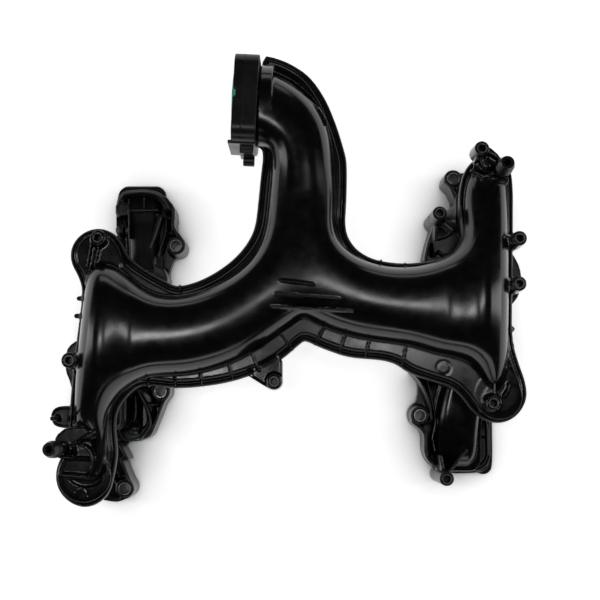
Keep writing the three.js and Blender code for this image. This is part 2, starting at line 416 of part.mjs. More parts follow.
// ---------------------------------------------------------------- throttle flange
// Built on its own axis: local +Z is the outward normal of the throttle face.
const THROTTLE_AT = [...[-31.2, 168.6], WELD_Z];
const THROTTLE_TURN = new THREE.Matrix4().makeTranslation(...THROTTLE_AT)
  .multiply(new THREE.Matrix4().makeRotationZ(THREE.MathUtils.degToRad(-2.8)))
  .multiply(new THREE.Matrix4().makeRotationY(-Math.PI / 2));
const place = (g) => g.applyMatrix4(THROTTLE_TURN);
const throttleGeometry = (pts, z0, z1, holes) => place(
  new THREE.ExtrudeGeometry(shapeOf(pts, holes), { depth: z1 - z0, bevelEnabled: false }).translate(0, 0, z0));
const circle = (x, y, r, n = 24) => Array.from({ length: n }, (_, i) => [x + r * Math.cos(2 * Math.PI * i / n), y + r * Math.sin(2 * Math.PI * i / n)]);
const screwAt = [[1, 1], [-1, 1], [-1, -1], [1, -1]].map(([a, b]) => [a * THROTTLE_BOLT, b * THROTTLE_BOLT]);
const T0 = 1.2, T1 = T0 + FLANGE_T;
let throttle = toSolid(throttleGeometry(roundedRect(0, 0, FLANGE_W, FLANGE_W, 14, 4), T0, T1, [circle(0, 0, BORE_R)]));
throttle = union([throttle,
  toSolid(throttleGeometry(circle(0, 0, BORE_R + 5), -2.2, T0 + 1, [circle(0, 0, BORE_R)])),
  toSolid(throttleGeometry(roundedRect(0, -FLANGE_W / 2 - 1.2, 40, 4, 1.5), T0, T1 + 4, [])),
  toSolid(throttleGeometry(roundedRect(0, -FLANGE_W / 2 - 4.5, 26, 8, 2), T0, T0 + 12, [])),
]);
throttle = cut(throttle, [
  toSolid(throttleGeometry(circle(0, 0, BORE_R + 7 + GAP), T1 - 3, T1 + 2, [circle(0, 0, BORE_R + 2.6 - GAP)])),
  toSolid(throttleGeometry(roundedRect(BORE_R + 7.5, 0, 7, 7.6, 1), T1 - 3, T1 + 2, [])),
  ...screwAt.map(([x, y]) => toSolid(throttleGeometry(circle(x, y, INS_R + GAP, 10), T1 - 15, T1 + 1, []))),
]);
// Neck mouth collar, cut open by the bore.
const collar = toSolid(throttleGeometry(circle(0, 0, BORE_R + 8.6), -14, -2.6, []));
const bore = toSolid(throttleGeometry(circle(0, 0, BORE_R), -14, 40, []));
const spigotRoom = toSolid(throttleGeometry(circle(0, 0, BORE_R + 5 + GAP), -2.5, 40, []));
const faceRoom = toSolid(throttleGeometry(roundedRect(0, 0, 120, 120, 4), -2.5, 60, []));
const withCollar = (shell, half) => cut(shell.add(collar.intersect(half)), [bore, faceRoom, spigotRoom, duct(NECK_AND_LEFT_ARM, WALL)]);
upper = whole(withCollar(upper, above(WELD_Z + GAP / 2)));
lower = whole(withCollar(lower, below(WELD_Z - GAP / 2)));

// ---------------------------------------------------------------- materials and assembly
const plastic = (c = 0x1c1c1e, r = 0.38) => new THREE.MeshStandardMaterial({ color: c, roughness: r, metalness: 0 });
const BLACK = plastic(), BLACK2 = plastic(0x202022, 0.45), BLACK3 = plastic(0x252527, 0.5);
const DARK = new THREE.MeshStandardMaterial({ color: 0x3a3938, roughness: 0.4, metalness: 1 });
const STEEL = new THREE.MeshStandardMaterial({ color: 0xb8babc, roughness: 0.35, metalness: 1 });
const GREEN = new THREE.MeshStandardMaterial({ color: 0x2c9a6a, roughness: 0.6, metalness: 0 });
const ORANGE = new THREE.MeshStandardMaterial({ color: 0x3a3a3c, roughness: 0.8, metalness: 0 });

const manifold = new THREE.Group();
manifold.name = 'intake_manifold';
const put = (name, geometry, material) => {
  const mesh = new THREE.Mesh(geometry, material);
  mesh.name = name;
  manifold.add(mesh);
};
put('upper_shell', toGeometry(upper), BLACK);
put('lower_shell', toGeometry(lower), BLACK2);
put('left_runner_body', toGeometry(leftBody), BLACK3);
put('right_runner_body', toGeometry(rightBody), BLACK3);
put('left_front_runner_cover', toGeometry(whole(leftSplit.cover)), BLACK2);
put('right_rear_runner_cover', toGeometry(whole(rightSplit.cover)), BLACK2);
put('throttle_flange', toGeometry(whole(throttle)), BLACK3);

let seal = toSolid(throttleGeometry(circle(0, 0, BORE_R + 7), T1 - 2.7, T1 + 0.9, [circle(0, 0, BORE_R + 2.6)]));
seal = seal.add(toSolid(throttleGeometry(roundedRect(BORE_R + 7.5, 0, 6, 6.6, 1), T1 - 2.7, T1 + 0.9, [])));
put('throttle_seal', toGeometry(seal), GREEN);
screwAt.forEach(([x, y], i) => {
  put(`throttle_insert_${i + 1}`, toGeometry(toSolid(throttleGeometry(circle(x, y, INS_R, 10), T1 - 14.5, T1 + 0.1, [circle(x, y, INS_BORE, 10)]))), DARK);
});
const portNames = ['front', 'middle', 'rear'];
[['left', LEFT_PORTS], ['right', RIGHT_PORTS]].forEach(([side, ports]) => ports.forEach(([x, y], i) => {
  put(`${side}_${portNames[i]}_port_seal`, toGeometry(prism(roundedRect(x, y, PORT_X + 12, PORT_Y + 12, 17), 0.1, 2.7,
    [roundedRect(x, y, PORT_X + 4, PORT_Y + 4, 13)])), GREEN);
}));
[['left', LEFT_LUGS], ['right', RIGHT_LUGS]].forEach(([side, lugs]) => lugs.forEach(([x, y], i) => {
  put(`${side}_bolt_sleeve_${i + 1}`, tubeGeometry(LIM_BORE, LIM_R, 0.1, SKIRT_Z + 0.4, 14).translate(x, y, 0), STEEL);
}));
for (const [name, b] of [...Object.entries(SHELL_BOSSES), ...Object.entries(LOW_BOSSES)]) {
  put(`${name}_insert`, insertMesh(b), DARK);
}
for (const [name, n] of [['left_hose_nipple', nippleLeft], ['right_hose_nipple', nippleRight]]) {
  put(name, onAxis(lathe(nippleProfile(lenOf(n.base, n.top), 4.6, 8.0), 16), n.base, n.top), BLACK3);
}
export default manifold;
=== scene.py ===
import bpy
import bmesh
import json
import math
import numpy as np
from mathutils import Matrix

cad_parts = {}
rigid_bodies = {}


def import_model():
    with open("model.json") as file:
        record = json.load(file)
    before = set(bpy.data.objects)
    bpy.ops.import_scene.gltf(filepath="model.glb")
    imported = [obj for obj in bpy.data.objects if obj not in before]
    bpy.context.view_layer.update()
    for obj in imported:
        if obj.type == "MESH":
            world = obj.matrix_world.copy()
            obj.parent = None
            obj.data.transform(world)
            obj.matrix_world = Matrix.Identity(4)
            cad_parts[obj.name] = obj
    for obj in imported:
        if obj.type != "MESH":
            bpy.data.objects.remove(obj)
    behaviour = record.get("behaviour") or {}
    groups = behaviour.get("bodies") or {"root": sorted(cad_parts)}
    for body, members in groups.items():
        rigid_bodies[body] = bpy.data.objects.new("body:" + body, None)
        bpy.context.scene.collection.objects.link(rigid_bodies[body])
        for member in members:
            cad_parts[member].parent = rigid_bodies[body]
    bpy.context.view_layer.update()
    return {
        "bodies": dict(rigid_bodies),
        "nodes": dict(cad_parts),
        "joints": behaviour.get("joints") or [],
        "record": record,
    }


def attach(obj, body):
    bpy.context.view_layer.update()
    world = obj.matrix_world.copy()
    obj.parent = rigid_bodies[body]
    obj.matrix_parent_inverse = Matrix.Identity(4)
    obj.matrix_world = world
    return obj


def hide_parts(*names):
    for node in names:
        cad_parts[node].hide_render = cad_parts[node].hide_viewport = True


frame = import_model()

import openvdb
from mathutils import Matrix, Vector

# Everything below is worked out in millimetres and turned into metres when a mesh is made.
MM = 0.001
WELD = 80.0
WALL = 3.2
GAP = 0.3

# ------------------------------------------------------------------ distance-field toolkit


def smin(a, b, k):
    if k <= 0:
        return np.minimum(a, b)
    h = np.clip(0.5 + 0.5 * (b - a) / k, 0, 1)
    return b + (a - b) * h - k * h * (1 - h)


def smax(a, b, k):
    return -smin(-a, -b, k)


def rounded(pts, times=2):
    """Corner-cutting of a closed outline."""
    p = np.array(pts, float)
    for _ in range(times):
        q = np.roll(p, -1, axis=0)
        p = np.stack([0.75 * p + 0.25 * q, 0.25 * p + 0.75 * q], 1).reshape(-1, 2)
    return p


def spline(pts, step=3.0):
    """Open Catmull-Rom curve through the points, of any dimension."""
    p = np.array(pts, float)
    p = np.vstack([2 * p[0] - p[1], p, 2 * p[-1] - p[-2]])
    out = []
    for i in range(1, len(p) - 2):
        n = max(2, int(np.linalg.norm(p[i + 1] - p[i]) / step))
        for j in range(n):
            t = j / n
            out.append(0.5 * ((2 * p[i]) + (-p[i - 1] + p[i + 1]) * t + (2 * p[i - 1] - 5 * p[i] + 4 * p[i + 1] - p[i + 2]) * t * t
                              + (-p[i - 1] + 3 * p[i] - 3 * p[i + 1] + p[i + 2]) * t ** 3))
    out.append(p[-2])
    return np.array(out)


def sdf_poly(P, X, Y):
    """Signed distance to a closed outline, negative inside."""
    P = np.asarray(P, np.float32)
    best = np.full(np.broadcast(X, Y).shape, 1e12, np.float32)
    inside = np.zeros(best.shape, bool)
    n = len(P)
    for i in range(n):
        a, b = P[i], P[(i + 1) % n]
        e = b - a
        l2 = float(e @ e)
        if l2 < 1e-9:
            continue
        wx, wy = X - a[0], Y - a[1]
        t = np.clip((wx * e[0] + wy * e[1]) / l2, 0, 1)
        best = np.minimum(best, (wx - e[0] * t) ** 2 + (wy - e[1] * t) ** 2)
        c = (a[1] <= Y) != (b[1] <= Y)
        if abs(e[1]) > 1e-9:
            inside ^= c & (X < a[0] + (Y - a[1]) * e[0] / e[1])
    d = np.sqrt(best)
    return np.where(inside, -d, d).astype(np.float32)


def sdf_path(P, X, Y, close=False):
    """Distance to an open path."""
    P = np.asarray(P, np.float32)
    best = None
    m = len(P) if close else len(P) - 1
    for i in range(m):
        a, b = P[i], P[(i + 1) % len(P)]
        e = b - a
        l2 = max(float(e @ e), 1e-9)
        wx, wy = X - a[0], Y - a[1]
        t = np.clip((wx * e[0] + wy * e[1]) / l2, 0, 1)
        d = (wx - e[0] * t) ** 2 + (wy - e[1] * t) ** 2
        best = d if best is None else np.minimum(best, d)
    return np.sqrt(best)


def slab(d2, Z, z0, z1, e=0.8):
    """Flat outline field d2 given a thickness from z0 to z1, with edges rounded by e."""
    dz = np.maximum(z0 - Z, Z - z1)
    return smax(d2, dz, e)


# A form is (function of X, Y, Z; lowest corner; highest corner).
def poly(P, z0, z1, e=0.8, grow=0.0, soft=1):
    Q = rounded(P, soft) if soft else np.array(P, float)
    zz0, zz1 = (z0, z1)
    f = lambda X, Y, Z: slab(sdf_poly(Q, X, Y) - grow, Z, zz0(X, Y) if callable(zz0) else zz0, zz1(X, Y) if callable(zz1) else zz1, e)
    lo = [Q[:, 0].min() - grow, Q[:, 1].min() - grow, 0 if callable(z0) else z0]
    hi = [Q[:, 0].max() + grow, Q[:, 1].max() + grow, 130 if callable(z1) else z1]
    return f, lo, hi


def wall(path, t, z0, z1, e=0.8, close=False):
    """Rib or wall of thickness t standing on a path. z0 and z1 are heights or functions of X, Y."""
    P = np.array(path, float)
    f = lambda X, Y, Z: slab(sdf_path(P, X, Y, close) - t / 2, Z, z0(X, Y) if callable(z0) else z0, z1(X, Y) if callable(z1) else z1, e)
    lo = [P[:, 0].min() - t, P[:, 1].min() - t, 0 if callable(z0) else z0]
    hi = [P[:, 0].max() + t, P[:, 1].max() + t, 130 if callable(z1) else z1]
    return f, lo, hi


def cyl(x, y, z0, z1, r0, r1=None, e=0.9):
    r1 = r0 if r1 is None else r1
    f = lambda X, Y, Z: slab(np.hypot(X - x, Y - y) - (r0 + (r1 - r0) * (Z - z0) / (z1 - z0)), Z, z0, z1, e)
    r = max(r0, r1)
    return f, [x - r, y - r, z0], [x + r, y + r, z1]


def ring(x, y, z0, z1, ri, ro, e=0.5):
    f = lambda X, Y, Z: slab(np.abs(np.hypot(X - x, Y - y) - (ri + ro) / 2) - (ro - ri) / 2, Z, z0, z1, e)
    return f, [x - ro, y - ro, z0], [x + ro, y + ro, z1]


def rect(x, y, w, h, r, z0, z1, e=0.8, turn=0.0, grow=0.0):
    c, s = math.cos(math.radians(turn)), math.sin(math.radians(turn))

    def f(X, Y, Z):
        u, v = (X - x) * c + (Y - y) * s, -(X - x) * s + (Y - y) * c
        qx, qy = np.abs(u) - (w / 2 - r), np.abs(v) - (h / 2 - r)
        d = np.hypot(np.maximum(qx, 0), np.maximum(qy, 0)) + np.minimum(np.maximum(qx, qy), 0) - r - grow
        return slab(d, Z, z0(X, Y) if callable(z0) else z0, z1(X, Y) if callable(z1) else z1, e)
    R = math.hypot(w, h) / 2 + grow
    return f, [x - R, y - R, 0 if callable(z0) else z0], [x + R, y + R, 130 if callable(z1) else z1]


def rod(p, q, r0, r1=None, e=0.6, s0=0.0, s1=None):
    """Cylinder or cone on the line from p to q, between s0 and s1 along it."""
    p, q = np.array(p, float), np.array(q, float)
    L = np.linalg.norm(q - p)
    d = (q - p) / L
    s1 = L if s1 is None else s1
    r1 = r0 if r1 is None else r1

    def f(X, Y, Z):
        wx, wy, wz = X - p[0], Y - p[1], Z - p[2]
        s = wx * d[0] + wy * d[1] + wz * d[2]
        r = np.sqrt(np.maximum(wx * wx + wy * wy + wz * wz - s * s, 0))
        return smax(r - (r0 + (r1 - r0) * (s - s0) / (s1 - s0)), np.maximum(s0 - s, s - s1), e)
    R = max(r0, r1)
    a, b = p + d * s0, p + d * s1
    return f, np.minimum(a, b) - R, np.maximum(a, b) + R


def ball(x, y, z, rx, ry, rz):
    def f(X, Y, Z):
        k = np.sqrt(((X - x) / rx) ** 2 + ((Y - y) / ry) ** 2 + ((Z - z) / rz) ** 2)
        return (k - 1) * min(rx, ry, rz)
    return f, [x - rx, y - ry, z - rz], [x + rx, y + ry, z + rz]


class Solid:
    """A block of distances that forms are added to and cut from."""

    def __init__(self, lo, hi, h):
        self.h = h
        self.lo = np.array(lo, float)
        self.n = (np.ceil((np.array(hi, float) - self.lo) / h) + 1).astype(int)
        self.f = np.full(self.n, 8.0, np.float32)
        self.ax = [(self.lo[i] + h * np.arange(self.n[i])).astype(np.float32) for i in range(3)]

    def grid(self):
        return self.ax[0][:, None, None], self.ax[1][None, :, None], self.ax[2][None, None, :]

    def window(self, lo, hi, pad):
        sl, ax = [], []
        for i in range(3):
            a = max(0, int(math.floor((lo[i] - pad - self.lo[i]) / self.h)))
            b = min(int(self.n[i]), int(math.ceil((hi[i] + pad - self.lo[i]) / self.h)) + 1)
            if b <= a:
                return None, None
            sl.append(slice(a, b))
            ax.append(self.ax[i][a:b])
        return tuple(sl), (ax[0][:, None, None], ax[1][None, :, None], ax[2][None, None, :])

    def add(self, form, k=2.0):
        for fn, lo, hi in (form if isinstance(form, list) else [form]):
            sl, g = self.window(lo, hi, k + 6)
            if sl:
                self.f[sl] = smin(self.f[sl], fn(*g).astype(np.float32), k)
        return self

    def cut(self, form, k=0.8):
        for fn, lo, hi in (form if isinstance(form, list) else [form]):
            sl, g = self.window(lo, hi, k + 2)
            if sl:
                self.f[sl] = smax(self.f[sl], -fn(*g).astype(np.float32), k)
        return self

    def clip_z(self, z0=None, z1=None, k=0.0):
        Z = self.ax[2][None, None, :]
        if z0 is not None:
            self.f = smax(self.f, (z0 - Z), k)
        if z1 is not None:
            self.f = smax(self.f, (Z - z1), k)
        return self

    def mesh(self, name, place=None, keep=0.02):
        f = np.clip(self.f, -3, 3).astype(np.float32)
        f[0], f[-1], f[:, 0], f[:, -1], f[:, :, 0], f[:, :, -1] = 3, 3, 3, 3, 3, 3
        g = openvdb.FloatGrid(3.0)
        g.copyFromArray(np.ascontiguousarray(f))
        p, q = g.convertToQuads(isovalue=0.0)
        p = p.astype(np.float64) * self.h + self.lo
        q = q.astype(np.int64)
        # loose crumbs smaller than a share of the whole are dropped
        lab = np.arange(len(p))
        for _ in range(400):
            m = lab[q].min(1)
            new = lab.copy()
            np.minimum.at(new, q.ravel(), np.repeat(m, 4))
            new = new[new]
            if (new == lab).all():
                break
            lab = new
        fl = lab[q[:, 0]]
        ids, cnt = np.unique(fl, return_counts=True)
        good = ids[cnt >= keep * cnt.max()]
        q = q[np.isin(fl, good)]
        used = np.unique(q)
        back = np.full(len(p), -1)
        back[used] = np.arange(len(used))
        p, q = p[used], back[q]
        if place is not None:
            M = np.array(place)
            p = p @ M[:3, :3].T + M[:3, 3]
        me = bpy.data.meshes.new(name)
        me.vertices.add(len(p))
        me.vertices.foreach_set("co", (p * MM).astype(np.float32).ravel())
        me.loops.add(len(q) * 4)
        me.loops.foreach_set("vertex_index", q.astype(np.int32).ravel())
        me.polygons.add(len(q))
        me.polygons.foreach_set("loop_start", np.arange(0, len(q) * 4, 4, dtype=np.int32))
        me.update(calc_edges=True)
        me.validate()
        me.polygons.foreach_set("use_smooth", np.ones(len(me.polygons), bool))
        return me


MATERIAL = {}


def put(name, me, node, slot):
    o = bpy.data.objects.new(name, me)
    bpy.context.scene.collection.objects.link(o)
    me.materials.append(MATERIAL[slot])
    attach(o, "root")
    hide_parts(node)
    return o


def turned(name, profile, seg=48, place=None, knurl=None, sharp=32.0):
    """Turned piece from a closed loop of (radius, height) rows. knurl = (z0, z1, depth, teeth) roughens the outside."""
    bm = bmesh.new()
    rings = []
    for r, z in profile:
        row = []
        for i in range(seg):
            a = 2 * math.pi * i / seg
            rr = r
            if knurl and knurl[0] <= z <= knurl[1] and r > knurl[4]:
                rr = r - knurl[2] * (0.5 + 0.5 * math.cos(knurl[3] * a + z * 2.2)) * (1 if i % 2 else 0.4)
            row.append(bm.verts.new((rr * math.cos(a), rr * math.sin(a), z)))
        rings.append(row)
    n = len(rings)
    for j in range(n):
        for i in range(seg):
            bm.faces.new((rings[j][i], rings[j][(i + 1) % seg], rings[(j + 1) % n][(i + 1) % seg], rings[(j + 1) % n][i]))
    bmesh.ops.recalc_face_normals(bm, faces=bm.faces)
    for f in bm.faces:
        f.smooth = True
    for e in bm.edges:
        if len(e.link_faces) == 2 and e.calc_face_angle(0) > math.radians(sharp):
            e.smooth = False
    me = bpy.data.meshes.new(name)
    bm.to_mesh(me)
    bm.free()
    M = Matrix(place) if place is not None else Matrix.Identity(4)
    me.transform(Matrix.Scale(MM, 4) @ M)
    return me


def band(name, path, profile, place=None, sharp=40.0):
    """Closed band: profile rows (outward, up) swept round a closed outline."""
    P = np.array(path, float)
    n = len(P)
    t = np.roll(P, -1, 0) - np.roll(P, 1, 0)
    t /= np.linalg.norm(t, axis=1)[:, None]
    area = 0.5 * np.sum(P[:, 0] * np.roll(P[:, 1], -1) - np.roll(P[:, 0], -1) * P[:, 1])
    nor = np.stack([t[:, 1], -t[:, 0]], 1) * (1 if area > 0 else -1)
    bm = bmesh.new()
    rows = []
    for o, z in profile:
        rows.append([bm.verts.new((P[i, 0] + nor[i, 0] * o, P[i, 1] + nor[i, 1] * o, z)) for i in range(n)])
    m = len(rows)
    for j in range(m):
        for i in range(n):
            bm.faces.new((rows[j][i], rows[j][(i + 1) % n], rows[(j + 1) % m][(i + 1) % n], rows[(j + 1) % m][i]))
    bmesh.ops.recalc_face_normals(bm, faces=bm.faces)
    for f in bm.faces:
        f.smooth = True
    for e in bm.edges:
        if len(e.link_faces) == 2 and e.calc_face_angle(0) > math.radians(sharp):
            e.smooth = False
    me = bpy.data.meshes.new(name)
    bm.to_mesh(me)
    bm.free()
    M = Matrix(place) if place is not None else Matrix.Identity(4)
    me.transform(Matrix.Scale(MM, 4) @ M)
    return me


def rect_path(cx, cy, w, h, r, seg=10):
    pts = []
    for k, (sx, sy) in enumerate([(1, 1), (-1, 1), (-1, -1), (1, -1)]):
        for i in range(seg + 1):
            a = (k + i / seg) * math.pi / 2
            pts.append((cx + sx * (w / 2 - r) + r * math.cos(a), cy + sy * (h / 2 - r) + r * math.sin(a)))
    # straight runs get a few points of their own
    out = []
    for i, p in enumerate(pts):
        q = pts[(i + 1) % len(pts)]
        out.append(p)
        d = math.hypot(q[0] - p[0], q[1] - p[1])
        m = int(d / 3.0)
        for j in range(1, m):
            out.append((p[0] + (q[0] - p[0]) * j / m, p[1] + (q[1] - p[1]) * j / m))
    return out


def swell(P, X, Y, h):
    """Membrane over the outline P: twice its height is the square of a round duct's height."""
    d = sdf_poly(P, X, Y)[:, :, 0].astype(np.float64)
    inside = d < 0
    diag = np.zeros_like(d)
    links = []
    for ax in (0, 1):
        for s in (1, -1):
            dn = np.roll(d, -s, ax)
            inn = np.roll(inside, -s, ax)
            th = np.clip(d / np.where(np.abs(d - dn) < 1e-9, -1e-9, d - dn), 0.08, 1.0)
            diag += np.where(inn, 1.0, 1.0 / th)
            links.append((ax, s, inn & inside))
    diag = np.where(inside, diag, 1.0)

    def A(u):
        r = diag * u
        for ax, s, on in links:
            r -= np.where(on, np.roll(u, -s, ax), 0)
        return np.where(inside, r, 0)
    b = np.where(inside, h * h, 0.0)
    u = np.where(inside, -d * 20, 0)
    r = b - A(u)
    z = r / diag
    p = z.copy()
    rz = float((r * z).sum())
    r0 = float((b * b).sum())
    for _ in range(900):
        Ap = A(p)
        al = rz / float((p * Ap).sum())
        u += al * p
        r -= al * Ap
        if float((r * r).sum()) < 1e-9 * r0:
            break
        z = r / diag
        rn = float((r * z).sum())
        p = z + (rn / rz) * p
        rz = rn
    return np.where(inside, u, -d * 24.0), d


def dome(u, zz, kk, top, h):
    """Signed distance, near enough, to the duct skin over the membrane u. zz is height off the weld plane."""
    U = 2 * u
    S = np.where(U > 0, U / np.sqrt(1 + (np.maximum(U, 0) / top ** 2) ** 2), U)
    gx, gy = np.gradient(S, h)
    G2 = (gx ** 2 + gy ** 2)[:, :, None].astype(np.float32)
    S = S[:, :, None].astype(np.float32)
    ik2 = (1.0 / kk ** 2).astype(np.float32)
    F = zz ** 2 * ik2 - S
    return (F / np.sqrt((2 * zz * ik2) ** 2 + G2 + 4.0)).astype(np.float32)


def ease(x, a, b):
    t = np.clip((x - a) / (b - a), 0, 1)
    return t * t * (3 - 2 * t)


# ------------------------------------------------------------------ outlines, in mm
RIM = np.array([(-27.5, 216.6), (-12.9, 213.6), (1.6, 207.7), (19.1, 195.8), (33.5, 175.0), (44.1, 149.4), (51.7, 123.9), (54.6, 111.2), (53.9, 75.3), (51.9, 46.2), (60.0, 29.9), (72.3, 20.3), (87.5, 15.0), (110.4, 12.6), (134.2, 15.0), (152.4, 18.8), (163.9, 25.1), (168.4, 36.6), (165.2, 51.1), (163.1, 70.4), (164.8, 89.8), (169.8, 104.4), (178.6, 114.2), (193.0, 119.1), (206.4, 114.2), (213.9, 99.6), (212.9, 46.2), (210.8, -20.9), (210.1, -58.9), (215.4, -79.7), (222.6, -99.5), (223.3, -115.5), (214.5, -129.5), (201.2, -136.5), (186.2, -135.1), (173.2, -125.8), (164.9, -113.6), (153.7, -102.3), (133.0, -96.2), (118.9, -91.5), (110.5, -87.3), (104.8, -83.0), (99.2, -80.0), (90.7, -77.6), (81.3, -76.4), (70.9, -75.7), (61.4, -74.8), (52.5, -73.1), (47.2, -71.4), (36.8, -67.8), (26.1, -63.5), (20.8, -60.8), (14.1, -58.4), (8.1, -63.2), (2.8, -67.9), (-4.8, -74.5), (-18.0, -83.5), (-32.1, -90.1), (-56.6, -98.1), (-84.0, -102.3), (-107.5, -103.7), (-131.2, -100.9), (-143.4, -101.9), (-155.5, -113.6), (-163.3, -126.7), (-163.9, -146.3), (-161.3, -165.0), (-164.7, -186.3), (-168.2, -201.1), (-178.4, -211.3), (-191.4, -215.0), (-204.5, -210.3), (-215.0, -199.3), (-218.1, -184.5), (-213.7, -169.6), (-205.5, -159.4), (-205.9, -138.9), (-204.9, -115.5), (-203.1, -87.3), (-199.1, -49.4), (-195.0, -13.3), (-199.0, 1.1), (-207.4, 15.5), (-207.2, 29.9), (-197.9, 42.4), (-182.7, 47.7), (-168.3, 42.9), (-159.5, 31.8), (-153.6, 18.3), (-134.4, 4.9), (-120.0, -2.8), (-108.5, -9.0), (-98.1, -8.0), (-80.0, -1.8), (-61.1, 9.7), (-46.9, 22.2), (-36.4, 36.6), (-30.8, 51.1), (-28.4, 75.3), (-26.1, 99.6), (-23.3, 122.0), (-29.1, 130.8)])
CROWN = [(-96.2, 200.7), (-57.4, 201.7), (-26.4, 201.2), (-17.7, 197.3), (-6.1, 191.8), (6.5, 184.4), (17.6, 175.5), (26.8, 164.7), (34.5, 151.4), (39.2, 137.7), (42.1, 116.1), (43.9, 75.3), (42.9, 51.1), (46.6, 36.6), (54.2, 27.0), (65.6, 18.8), (86.6, 11.6), (108.5, 9.7), (129.4, 12.1), (146.7, 18.3), (158.2, 27.0), (165.0, 38.5), (167.1, 48.2), (166.5, 75.3), (169.6, 92.7), (175.5, 102.5), (185.2, 107.3), (197.7, 107.3), (205.3, 102.5), (207.8, 85.0), (208.1, 41.4), (207.8, -1.8), (206.5, -49.4), (206.1, -70.3), (204.0, -85.4), (200.0, -98.6), (195.2, -106.1), (189.5, -104.2), (183.0, -96.7), (176.6, -87.3), (167.2, -78.8), (154.1, -74.5), (139.0, -71.7), (123.9, -67.0), (112.6, -63.7), (89.9, -60.3), (65.3, -57.0), (41.6, -50.4), (27.4, -43.7), (17.9, -39.0), (13.2, -37.6), (7.5, -40.9), (-0.1, -46.6), (-12.4, -55.1), (-25.6, -64.6), (-42.6, -75.0), (-59.6, -82.6), (-80.3, -88.7), (-101.1, -92.0), (-121.8, -92.4), (-133.1, -93.9), (-144.4, -98.6), (-152.8, -104.2), (-160.2, -110.8), (-166.2, -119.2), (-171.2, -130.5), (-172.4, -143.5), (-172.7, -157.5), (-173.4, -171.5), (-176.0, -183.5), (-179.7, -186.3), (-182.2, -178.9), (-182.9, -166.8), (-183.1, -153.8), (-186.0, -145.4), (-193.6, -140.7), (-201.2, -137.9), (-201.2, -115.5), (-199.8, -87.3), (-196.2, -49.4), (-193.9, -20.9), (-191.4, 0.1), (-188.7, 8.7), (-182.1, 13.5), (-172.6, 13.5), (-163.0, 9.7), (-153.4, 3.0), (-143.7, -5.6), (-130.3, -14.2), (-117.0, -17.6), (-101.8, -17.1), (-88.5, -14.2), (-77.1, -10.4), (-60.1, -2.3), (-46.8, 6.8), (-37.3, 15.9), (-29.7, 27.0), (-25.0, 38.5), (-22.2, 51.1), (-20.3, 70.4), (-18.4, 89.8), (-17.0, 109.3), (-17.5, 118.1), (-20.4, 123.9), (-30.1, 128.3), (-61.8, 130.3), (-95.5, 131.3)]
LEFT_FLANGE = np.array([(-174.8, 52.0), (-175.5, 69.2), (-175.2, 82.4), (-171.8, 91.6), (-165.9, 95.7), (-145.7, 96.7), (-133.6, 94.7), (-129.5, 94.5), (-126.3, 91.0), (-123.1, 84.7), (-116.8, 76.4), (-116.1, 57.6), (-110.3, 48.2), (-106.1, 40.9), (-108.1, 33.7), (-114.3, 28.5), (-120.4, 23.3), (-125.2, -3.6), (-124.9, -34.5), (-123.5, -65.2), (-120.2, -93.7), (-119.0, -106.9), (-124.0, -118.1), (-132.9, -141.3), (-136.8, -150.4), (-143.9, -154.5), (-152.0, -157.0), (-163.1, -157.5), (-164.4, -174.6), (-154.4, -198.6), (-153.3, -204.6), (-158.3, -212.6), (-168.3, -216.1), (-181.5, -213.6), (-188.8, -198.6), (-187.1, -176.6), (-185.6, -146.4), (-187.1, -116.1), (-188.6, -85.6), (-189.1, -55.0), (-189.8, -13.9), (-189.4, 27.4)])
RIGHT_FLANGE = np.array([(165.9, 113.0), (159.9, 111.7), (158.6, 111.0), (159.5, 102.6), (167.6, 82.7), (156.1, 73.2), (144.6, 62.8), (138.2, 43.0), (133.9, 25.4), (130.5, -3.6), (129.1, -44.7), (128.7, -85.6), (129.4, -116.1), (121.2, -122.1), (118.6, -130.2), (121.1, -138.3), (132.2, -147.4), (132.5, -166.5), (135.9, -176.6), (141.9, -182.6), (157.1, -186.6), (172.3, -187.6), (186.4, -188.1), (193.5, -190.6), (199.6, -188.6), (203.2, -182.6), (203.7, -151.4), (203.2, -116.1), (203.7, -55.0), (204.6, 6.7), (205.4, 58.6), (201.8, 90.0), (192.8, 111.0), (179.4, 117.2)])
LEFT_PORTS = [(-149.7, 75.0), (-155.7, -28.4), (-161.7, -131.8)]
RIGHT_PORTS = [(169.3, 48.0), (167.3, -55.4), (164.3, -158.8)]
LEFT_STUBS = [(-174.7, -12.9), (-175.7, -62.9), (-182.7, -118.9)]
RIGHT_STUBS = [(188.3, 65.1), (188.3, -5.9), (191.3, -56.9)]
LEFT_LUGS = [(-113.3, 37.5), (-127.1, -107.5), (-161.0, -202.1)]
RIGHT_LUGS = [(164.1, 105.2), (138.8, 13.0), (128.4, -131.0)]
BOSS = {
    "left_post": (*(-201.7, -79.0), 72, 110, 7.2, "left_post_insert"),
    "left_end": (*(-180.3, 36.9), 78, 94, 7.2, "left_end_insert"),
    "centre_ear": (*(-13.9, -98.2), 72, 92, 7.4, "centre_ear_insert"),
    "right_end_front": (*(180.8, 119.3), 66, 108, 6.8, "right_end_front_insert"),
    "right_post_front": (*(214.9, 34.7), 66, 106, 6.8, "right_post_front_insert"),
    "right_post_rear": (*(213.7, -7.8), 66, 106, 6.8, "right_post_rear_insert"),
    "right_end_rear": (*(190.1, -118.1), 78, 96, 7.0, "right_end_rear_insert"),
}
STAY = {
    "right_front_stay": (*(145.4, 64.0), 8, 72, 6.8, "right_front_stay_insert"),
    "right_rear_stay": (*(149.1, -189.7), 8, 72, 6.8, "right_rear_stay_insert"),
}
NIPPLE = {
    "left_hose_nipple": ((-208.1, -161.2, 81), (-215.7, -159.5, 122)),
    "right_hose_nipple": ((199.1, 94.8, 84), (201.0, 102.1, 126)),
}
THROTTLE_AT = (*(-31.2, 168.6), 80.0)
